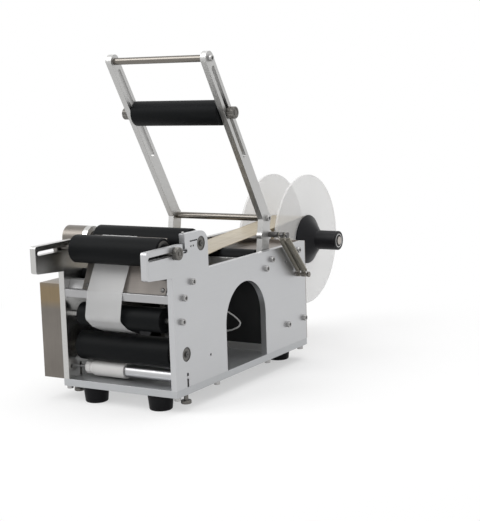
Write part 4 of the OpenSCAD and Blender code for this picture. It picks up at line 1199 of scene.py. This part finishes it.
@dataclass
class Bearings(Part):
    """Ball bearings, each with two races and a seal or shield, and the ends of the driven shafts."""

    table: tuple = (
        ("plate_bearings", Body.FRAME, ("bearings",), "knob_steel", (
            (105.0, REAR_LINE), (-105.0, REAR_LINE), (105.0, TRACTION_LINE), (-105.0, TRACTION_LINE),
        ), (
            (-10.0, 9.3), (-10.0, 10.7), (-9.7, 11.0), (-0.3, 11.0), (0, 10.7), (0, 9.3), (-0.9, 9.2),
            (-0.9, 5.8), (0, 5.7), (0, 4.2), (-0.4, 4.0),
        ), ((-1.2, 9.25), (-0.65, 9.25), (-0.45, 8.6), (-0.45, 6.3), (-0.6, 5.02))),
        ("front_bearings", Body.FRONT, (), "foot_rubber", ((-74.6, FRONT_LINE), (84.6, FRONT_LINE)), (
            (-2.2, 12.7), (-2.2, 14.1), (-1.9, 14.4), (-0.3, 14.4), (0, 14.1), (0, 12.7), (-0.9, 12.6),
            (-0.9, 4.9), (0, 4.8), (0, 3.3), (-0.4, 3.1),
        ), ((-1.2, 12.65), (-0.65, 12.65), (-0.45, 12.0), (-0.45, 5.4), (-0.6, 4.12))),
        ("press_bearings", Body.PRESS_ROLL, (), "foot_rubber", ((-80.3, PRESS_LINE), (80.3, PRESS_LINE)), (
            (-2.0, 9.4), (-2.0, 10.8), (-1.7, 11.1), (-0.3, 11.1), (0, 10.8), (0, 9.4), (-0.9, 9.3),
            (-0.9, 5.9), (0, 5.8), (0, 4.3), (-0.4, 4.1),
        ), ((-1.2, 9.35), (-0.65, 9.35), (-0.45, 8.7), (-0.45, 6.4), (-0.6, 5.12))),
    )
    shaft_x: float = 105.0
    shaft_end: Rims = ((0.5, 4.1), (1.4, 4.1), (1.8, 3.6), (1.8, 1.5), (1.0, 0.9))
    shaft_sides: int = 32

    def build(self) -> None:
        """Models all bearings that can be seen, and the ends of the two driven shafts."""
        for name, body, nodes, shield, places, *profiles in self.table:
            races, seals = [], []
            for x, line in places:
                axis = Axis.X if x > 0 else Axis.LEFT
                for made, rims in zip((races, seals), profiles):
                    made.append(self.turned(self.at(x, *line), rims, axis))
            self.done(f"{name}_races", races, "dark_steel", body, "steel", nodes, Crease.TURNED)
            self.done(f"{name}_seals", seals, shield, body, "black_plastic", (), Crease.TURNED)
        for body, line in ((Body.REAR, REAR_LINE), (Body.TRACTION, TRACTION_LINE)):
            end = self.turned(self.at(self.shaft_x, *line), self.shaft_end, sides=self.shaft_sides)
            self.done(f"{body.value}_shaft_end", [end], "dark_steel", body, "steel", (), Crease.TURNED)


@dataclass
class IdlerAxles(Part):
    """The fixed axles of the two idlers and of the arm's pivot."""

    table: tuple = (
        ((50.0, 156.5), ((-95.0, 5.0), (-84.0, 5.0), (95.0, 5.0))),
        ((19.0, 101.0), (
            (-95.0, 5.0), (-84.0, 5.0), (-84.0, 5.8), (-83.6, 6.2), (-75.7, 6.2), (-75.3, 5.8),
            (-75.3, 5.0), (95.0, 5.0),
        )),
        ((291.0, 154.6), ((-95.0, 6.0), (-87.0, 6.0), (-87.0, 5.8), (95.0, 5.8))),
    )

    def build(self) -> None:
        """Models the axles."""
        made = [self.turned(self.at(0, *line), rims) for line, rims in self.table]
        self.done("idler_axles", made, "bright_steel", Body.FRAME, "steel", ["fixed_axles"])


@dataclass
class TakeUp(Part):
    """The tube that winds the empty liner, its plug, its axle and the thumb screws below."""

    line: tuple = (30.6, 14.9)
    tube: Rims = ((-69.0, 9.2), (-65.0, 9.6), (93.6, 9.6), (94.0, 9.2), (94.0, 8.0), (91.0, 8.0))
    grip: Rims = (
        (-79.3, 3.9), (-79.3, 6.8), (-80.5, 7.2), (-80.5, 8.8), (-78.9, 10.4), (-71.6, 10.4), (-70.8, 9.5),
    )
    grip_sides: int = 12
    collar: Rims = ((-71.4, 9.2), (-69.9, 9.2), (-69.6, 10.4), (-65.8, 10.4), (-65.0, 9.6), (-65.0, 9.3))
    thread: float = 0.7
    thread_cut: float = 0.3
    rod: tuple = (-105.0, -76.5, 2.4)
    rod_end: float = 105.0
    rod_sides: int = 24
    nut: Rims = ((-85.2, 3.2), (-84.8, 3.9), (-82.4, 3.9), (-82.0, 3.2))
    screw_x: float = 100.0
    under: float = -11.3
    shank: tuple = (-22.8, 0.2, 2.3)
    head: Rims = (
        (0.2, 3.0), (0.6, 3.4), (8.2, 3.4), (8.6, 3.8), (8.6, 7.3), (9.3, 8.0), (13.3, 8.0), (14.0, 7.3),
        (14.0, 3.4), (13.4, 3.0),
    )
    head_sides: int = 72
    knurl_from: float = 7.9

    def threads(self, start: float, end: float, radius: float) -> Rims:
        """The rims of a threaded rod.

        Args:
            start: Where the thread starts.
            end: Where it ends.
            radius: Its outer radius.

        Returns:
            The rims.
        """
        count = round((end - start) / self.thread)
        cut, pitch = self.thread_cut, (end - start) / count
        return [(start + pitch * i, radius - (i % 2) * cut) for i in range(count + 1)]

    def build(self) -> None:
        """Models the whole take-up."""
        base = self.at(0, *self.line)
        metal = "tube_aluminium"
        tube = [self.turned(base, self.tube)]
        self.done("take_up_tube_bright", tube, metal, Body.TAKE_UP, "steel", ["take_up_tube"])
        plug = [self.turned(base, self.grip, sides=self.grip_sides), self.turned(base, self.collar)]
        self.done("take_up_plug", plug, "white_plastic", Body.TAKE_UP, "frosted_plastic", (), Crease.FACETS)
        rims = [*self.threads(*self.rod), (self.rod_end, self.rod[2])]
        rod = [self.turned(base, rims, sides=self.rod_sides)]
        self.done("take_up_rod", rod, metal, Body.LIFT, "steel", ["take_up_axle"], Crease.WIRE)
        nut = [self.turned(base, self.nut, sides=HEXAGON)]
        self.done("take_up_nut", nut, metal, Body.LIFT, "steel", (), Crease.FACETS)
        right, left = (self.at(x, self.line[0], self.under) for x in (self.screw_x, -self.screw_x))
        rims = [*self.threads(*self.shank), *self.head]
        screw = self.turned(right, rims, Axis.DOWN, self.head_sides)
        self.knurl(screw, right, Axis.DOWN, self.knurl_from)
        pair = self.copies(screw, right, [right, left])
        self.done("thumb_screw_pair", pair, "knob_steel", Body.LIFT, "steel", ["thumb_screws"], Crease.THUMB)


@dataclass
class Feet(Part):
    """Four tapered rubber feet, each with a washer and a screw in the hollow below."""

    spread: tuple = ((-60.0, 22.0), (60.0, 22.0), (-60.0, 386.0), (60.0, 386.0))
    under: float = -36.0
    hollow: Rims = ((14.0, 6.0), (0.6, 6.0), (0.0, 6.6))
    low_r: float = 17.5
    taper: float = 0.1
    edge: float = 2.4
    edge_parts: int = 6
    top: Rims = ((24.0, 20.0), (25.0, 19.4))
    screw: Rims = ((14.0, 5.8), (13.0, 5.8), (13.0, 4.4), (11.0, 4.4), (10.2, 3.5), (10.2, 1.9), (11.6, 1.7))
    screw_sides: int = 32

    def build(self) -> None:
        """Models the feet."""
        places = [self.at(x, y, self.under) for x, y in self.spread]
        edge = self.rounding(0, self.low_r, self.edge, True, self.edge_parts)
        rims = [*self.hollow, *((z, r + z * self.taper) for z, r in edge), *self.top]
        foot = self.turned(places[0], rims, Axis.UP)
        screw = self.turned(places[0], self.screw, Axis.UP, self.screw_sides)
        feet = self.copies(foot, places[0], places)
        self.done("feet_moulded", feet, "foot_rubber", Body.FRAME, "foot_rubber", ["rubber_feet"])
        screws = self.copies(screw, places[0], places)
        self.done("foot_screws", screws, "dark_steel", Body.FRAME, "dark_screw")


@dataclass
class SmallScrews(Part):
    """The screws of the covers and of the peel plate, and the set screw on the right tower."""

    sides: int = 36
    head_h: float = 1.8
    rear_y: float = 409.5
    rear_points: tuple = ((-100.0, 20.4), (100.0, 20.4), (-100.0, 85.0), (100.0, 85.0), (100.0, 146.2))
    rear: Rims = (
        (-2.0, 1.5), (0.0, 1.5), (0.0, 2.9), (0.54, 3.0), (0.9721, 2.8181), (1.3517, 2.2945),
        (1.633, 1.4927), (1.7694, 0.657),
    )
    rear_slots: tuple = ((1.8, 0.9, 0.45), (0.45, 0.9, 1.8))
    slot_edge: float = 0.05
    peel_at: tuple = (11.07, 148.05)
    peel_x: tuple = (-59.0, 0.0, 79.5)
    peel_lean: float = 25.25
    peel: Rims = ((-2.0, 1.7), (0.0, 1.7), (0.0, 3.3), (0.5, 3.4), (1.4, 2.5), (1.6, 1.9))
    peel_slot: tuple = (4.0, 0.8, 0.45)
    set_at: tuple = (100.0, 38.5, 229.0)
    set_rims: Rims = (
        (-3.2, 1.1), (0.8, 1.1), (0.8, 2.0), (1.0, 2.2), (2.7, 2.2), (3.0, 1.9), (3.0, 1.1), (2.0, 0.9),
    )
    set_sides: int = 32
    cover_x: float = -143.0
    cover_points: tuple = ((8.0, 130.0), (8.0, 19.0), (389.0, 111.0), (389.0, 19.0))
    cover: Rims = (
        (-2.0, 2.5), (0.0, 2.5), (0.0, 4.9), (0.54, 5.0), (0.9721, 4.6969), (1.3517, 3.8242),
        (1.633, 2.4879), (1.7694, 1.095),
    )
    cover_socket: Rims = ((-0.3, 2.5), (1.3, 2.5))

    def slot(self, screw: Piece, middle: Point, reach: Point) -> None:
        """Cuts a driver's slot, so far from its middle along each axis, into a head."""
        low, high = ([m + sign * r for m, r in zip(middle, reach)] for sign in (-1, 1))
        self.cut(screw, self.block(low, high, self.slot_edge, 1))

    def build(self) -> None:
        """Models the small screws and the cover's bolts."""
        look = (Body.FRAME, "bright_screw")
        places = [self.at(x, self.rear_y, z) for x, z in self.rear_points]
        rear = self.turned(places[0], self.rear, Axis.Y, self.sides)
        (x, z), face = self.rear_points[0], self.rear_y + self.head_h
        for reach in self.rear_slots:
            self.slot(rear, (x, face, z), reach)
        made = self.copies(rear, places[0], places)
        places = [self.at(x, *self.peel_at) for x in self.peel_x]
        peel = self.turned(places[0], self.peel, Axis.FRONT, self.sides)
        y, z = self.peel_at
        self.slot(peel, (self.peel_x[0], y - self.peel[-1][0], z), self.peel_slot)
        seat = Matrix.Translation(places[0])
        lean = Matrix.Rotation(-math.radians(self.peel_lean), 4, "X")
        peel.data.transform(seat @ lean @ seat.inverted())
        self.done("peel_screws", self.copies(peel, places[0], places), "dark_steel", *look, (), Crease.TURNED)
        made.append(self.turned(self.at(*self.set_at), self.set_rims, Axis.UP, self.set_sides))
        self.done("small_screw_set", made, "screw_steel", *look, ["small_screws"], Crease.TURNED)
        places = [self.at(self.cover_x, y, z) for y, z in self.cover_points]
        bolt = self.turned(places[0], self.cover, Axis.LEFT, self.sides)
        face = self.at(self.cover_x - self.head_h, *self.cover_points[0])
        self.cut(bolt, self.turned(face, self.cover_socket, sides=HEXAGON))
        bolts = self.copies(bolt, places[0], places)
        self.done("cover_bolt_heads", bolts, "screw_steel", *look, ["cover_bolts"], Crease.TURNED)


@dataclass
class Reel(Part):
    """The black hub between and beside the discs, with the bearing ring in its grip."""

    line: tuple = (580.0, 146.5)
    hub: Rims = (
        (-53.25, 37.7), (15.25, 37.7), (15.25, 5.9), (19.35, 5.9), (19.35, 44.5), (19.85, 45.0),
        (21.55, 45.0), (22.35, 44.2), (22.75, 43.2), (26.35, 38.2), (31.35, 31.6), (36.35, 25.8),
        (40.35, 20.8), (43.35, 17.8), (45.35, 17.5),
    )
    grip: tuple = (85.35, 17.5, 1.5)
    mouth: Rims = ((85.35, 13.1), (83.35, 13.0), (83.35, 10.9), (84.25, 10.8))
    sides: int = 96
    ring: Rims = ((83.05, 12.9), (84.85, 12.9), (85.15, 12.6), (85.15, 11.2), (84.95, 11.0), (83.75, 11.0))

    def build(self) -> None:
        """Models the hub and its ring."""
        base = self.at(0, *self.line)
        rims = [*self.hub, *self.rounding(*self.grip, False), *self.mouth]
        hub = self.turned(base, rims, sides=self.sides)
        self.done("reel_hub_moulded", [hub], "black_plastic", Body.REEL, "black_plastic", ["reel_hub"])
        ring = self.turned(base, self.ring)
        self.done("reel_hub_ring", [ring], "bright_steel", Body.REEL, "steel", (), Crease.TURNED)


@dataclass
class WiringLoop(Part):
    """The loop of cable in front of the box, with a grommet at each end."""

    face_y: float = 290.0
    radius: float = 1.35
    route: tuple = (
        (19, 0, 66), (19, -5, 66), (20, -9, 66), (24, -12, 65), (30, -14, 63), (37, -15, 60),
        (44, -16, 56), (49, -16, 52), (52, -16, 48), (51, -16, 44), (47, -16, 40), (41, -15, 37),
        (34, -14, 34), (27, -12, 32), (21, -9, 30), (18, -5, 30), (18, 0, 30),
    )
    grommet: Rims = ((-0.5, 4.6), (0.8, 4.6), (1.4, 4.1), (2.0, 2.25), (3.0, 2.05), (3.0, 1.35))
    grommet_sides: int = 32

    def build(self) -> None:
        """Models the loop and its grommets."""
        points = [self.at(x, self.face_y + y, z) for x, y, z in self.route]
        loop = [self.wire(points, self.radius)]
        # The cable's light grey colour is a painted highlight on a black cable.
        self.done(
            "wiring_cable", loop, "cable_grey", Body.FRAME, "black_plastic", ["wiring_loop"], Crease.WIRE
        )
        ends = (points[0], points[-1])
        made = [self.turned(end, self.grommet, Axis.FRONT, self.grommet_sides) for end in ends]
        self.done("cable_grommets", made, "black_plastic", Body.FRAME, "black_plastic")


@dataclass
class Motor(Part):
    """The gear motor: a square gearbox and a round motor with a ribbed end bell."""

    gearbox: tuple = ((-95.0, 65.0, 45.0), (-61.4, 115.0, 95.0), 2.0, 3)
    line: tuple = (90.0, 70.0)
    neck: Rims = ((-63.0, 18.0), (-60.0, 18.0), (-60.0, 20.0), (-59.0, 21.0))
    ribs: tuple = (-55.0, -51.0, -47.0, -43.0, -39.0)
    rib: Rims = ((0.0, 21.0), (0.4, 20.2), (2.0, 20.2), (2.4, 21.0))
    bell: Rims = ((-25.0, 21.0), (-24.0, 20.0), (-13.0, 20.0), (-10.0, 17.0), (-10.0, 6.0), (-9.0, 5.5))
    screw: Rims = ((-1.0, 2.6), (0.4, 2.6), (2.2, 2.4), (2.4, 2.0), (2.4, 1.3), (1.2, 1.2))
    screw_x: float = -61.4
    screw_y: tuple = (70.0, 110.0)
    screw_z: tuple = (50.0, 90.0)
    screw_sides: int = 24

    def build(self) -> None:
        """Models the motor and the screws of its gearbox."""
        box = self.block(*self.gearbox)
        ribs = [(x + along, radius) for x in self.ribs for along, radius in self.rib]
        barrel = self.turned(self.at(0, *self.line), [*self.neck, *ribs, *self.bell])
        self.done("gear_motor", [box, barrel], "motor_paint", Body.FRAME, "motor_paint", ["drive_motor"])
        places = [self.at(self.screw_x, y, z) for y in self.screw_y for z in self.screw_z]
        screw = self.turned(places[0], self.screw, sides=self.screw_sides)
        screws = self.copies(screw, places[0], places)
        self.done("gearbox_screws", screws, "dark_steel", Body.FRAME, "dark_screw")


@dataclass
class Inlet(Part):
    """The mains inlet in the rear cover: a chamfered flange, a deep recess and three blades."""

    rim: tuple = ((42.5, 409.5, 47.0), (77.5, 411.7, 75.0), 1.0, 3)
    well: tuple = ((46.1, 392.0, 50.6), (73.9, 410.3, 71.4), 0.6, 2)
    hollow: tuple = ((48.2, 394.2, 52.7), (71.8, 421.5, 69.3), 3.4, 1)
    blades: tuple = ((53.0, 59.0), (60.0, 63.0), (67.0, 59.0))
    blade_half: tuple = (1.0, 2.0)
    blade_y: tuple = (393.5, 406.0)
    blade_edge: float = 0.5

    def build(self) -> None:
        """Models the inlet and its blades."""
        shell = self.joined([self.block(*self.rim), self.block(*self.well)])
        self.cut(shell, self.block(*self.hollow))
        self.done("mains_inlet_shell", [shell], "black_plastic", Body.FRAME, "black_plastic", ["power_inlet"])
        (w, h), (back, front) = self.blade_half, self.blade_y
        made = [
            self.block((x - w, back, z - h), (x + w, front, z + h), self.blade_edge, 2)
            for x, z in self.blades
        ]
        self.done("inlet_blades", made, "bright_steel", Body.FRAME, "steel")


@dataclass
class Studio:
    """The camera, the floor and the lamps."""

    focal_px: float = 1305.631
    frame_px: tuple[int, int] = (480, 521)
    sensor: float = 36.0
    azimuth: float = 30.992
    elevation: float = 8.567
    roll: float = -1.927
    place: Spot = (1.160585, -1.869627, 0.509578)
    clip_end: float = 60.0
    floor_half: float = 12.0
    floor_noise: Noise = ((1.5, 1.5, 1.5), 2)
    floor_greys: tuple[Colour, Colour] = ((0.88, 0.88, 0.88), (0.90, 0.90, 0.90))
    shadow_near: float = 0.22
    shadow_far: float = 0.8
    plain: float = 0.45
    lamps: tuple = (("key", (-1.6, -2.2, 2.6), 2.2, 62.0), ("top", (0.3, 0.4, 3.0), 2.6, 46.0))
    aim: Spot = (0.0, 0.0, 0.2)
    ambient: float = 0.55

    def camera(self) -> None:
        """Puts the camera where the photograph was taken from."""
        data = bpy.data.cameras.new("camera")
        data.sensor_width = self.sensor
        data.lens = self.focal_px * self.sensor / max(self.frame_px)
        data.clip_end = self.clip_end
        az, el, turn = (math.radians(v) for v in (self.azimuth, self.elevation, self.roll))
        right = Vector((math.cos(az), math.sin(az), 0.0))
        ahead = Vector((-math.sin(az) * math.cos(el), math.cos(az) * math.cos(el), -math.sin(el)))
        up = right.cross(ahead)
        x_axis = math.cos(turn) * right + math.sin(turn) * up
        y_axis = -math.sin(turn) * right + math.cos(turn) * up
        matrix = Matrix((x_axis, y_axis, -ahead)).transposed().to_4x4()
        matrix.translation = Vector(self.place)
        camera = bpy.data.objects.new("camera", data)
        camera.matrix_world = matrix
        bpy.context.scene.collection.objects.link(camera)
        bpy.context.scene.camera = camera

    def floor(self) -> None:
        """Lays the white floor: dull near the feet, where it takes the shadow, and plain white beyond."""
        bpy.ops.object.select_all(action="DESELECT")
        bpy.ops.mesh.primitive_plane_add(size=2 * self.floor_half, location=(0, 0, 0))
        floor = bpy.context.active_object
        floor.name = "floor"
        g = Graph("floor_white")
        cloud = g.noise(*self.floor_noise)
        dull = g.node("ShaderNodeBsdfDiffuse", inputs={"Color": g.mix(cloud, *self.floor_greys)})
        white = g.node("ShaderNodeEmission", inputs={"Color": (1, 1, 1, 1), "Strength": 1.0})
        fade = ((g.distance() - self.shadow_near) / (self.shadow_far - self.shadow_near)).clamped()
        share = (self.plain + fade * (1.0 - self.plain)) * g.seen()
        both = g.node("ShaderNodeMixShader", inputs={0: share, 1: dull, 2: white})
        g.node("ShaderNodeOutputMaterial", inputs={"Surface": both})
        floor.data.materials.append(g.owner)

    def hang(self) -> None:
        """Hangs the square soft lamps, which look at the machine."""
        for name, place, size, power in self.lamps:
            data = bpy.data.lights.new(name, "AREA")
            data.shape = "SQUARE"
            data.size = size
            data.energy = power
            lamp = bpy.data.objects.new(name, data)
            lamp.location = place
            lamp.rotation_euler = (Vector(self.aim) - Vector(place)).to_track_quat("-Z", "Y").to_euler()
            bpy.context.scene.collection.objects.link(lamp)

    def room(self) -> None:
        """Fills the room with plain ambient light and a white backdrop."""
        g = Graph("room", world=True)
        levels = {"Value": g.seen(), "To Min": self.ambient, "To Max": 1.0}
        strength = g.node("ShaderNodeMapRange", inputs=levels)
        back = g.node("ShaderNodeBackground", inputs={"Color": (1, 1, 1, 1), "Strength": strength})
        g.node("ShaderNodeOutputWorld", inputs={"Surface": back})
        bpy.context.scene.world = g.owner

    def build(self) -> None:
        """Sets up the whole studio."""
        bpy.context.scene.view_settings.view_transform = "Standard"
        self.camera()
        self.floor()
        self.hang()
        self.room()
        LOG.info("studio ready")


def main() -> None:
    """Builds the scene and reports each piece."""
    logging.basicConfig(level=logging.INFO, format="%(name)s: %(message)s")
    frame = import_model()
    Studio().build()
    finishes = Finishes(frame)
    finishes.apply()
    low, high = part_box("base_plate")
    origin = Vector(((low.x + high.x) / 2, low.y, high.z))
    for part in (
        CapScrews, Carriages, Springs, Rollers, Bearings, IdlerAxles, TakeUp, Feet, SmallScrews, Reel,
        WiringLoop, Motor, Inlet,
    ):
        part(origin, finishes.made).build()
        LOG.info("built %s", part.__name__)


if __name__ == "__main__":
    main()
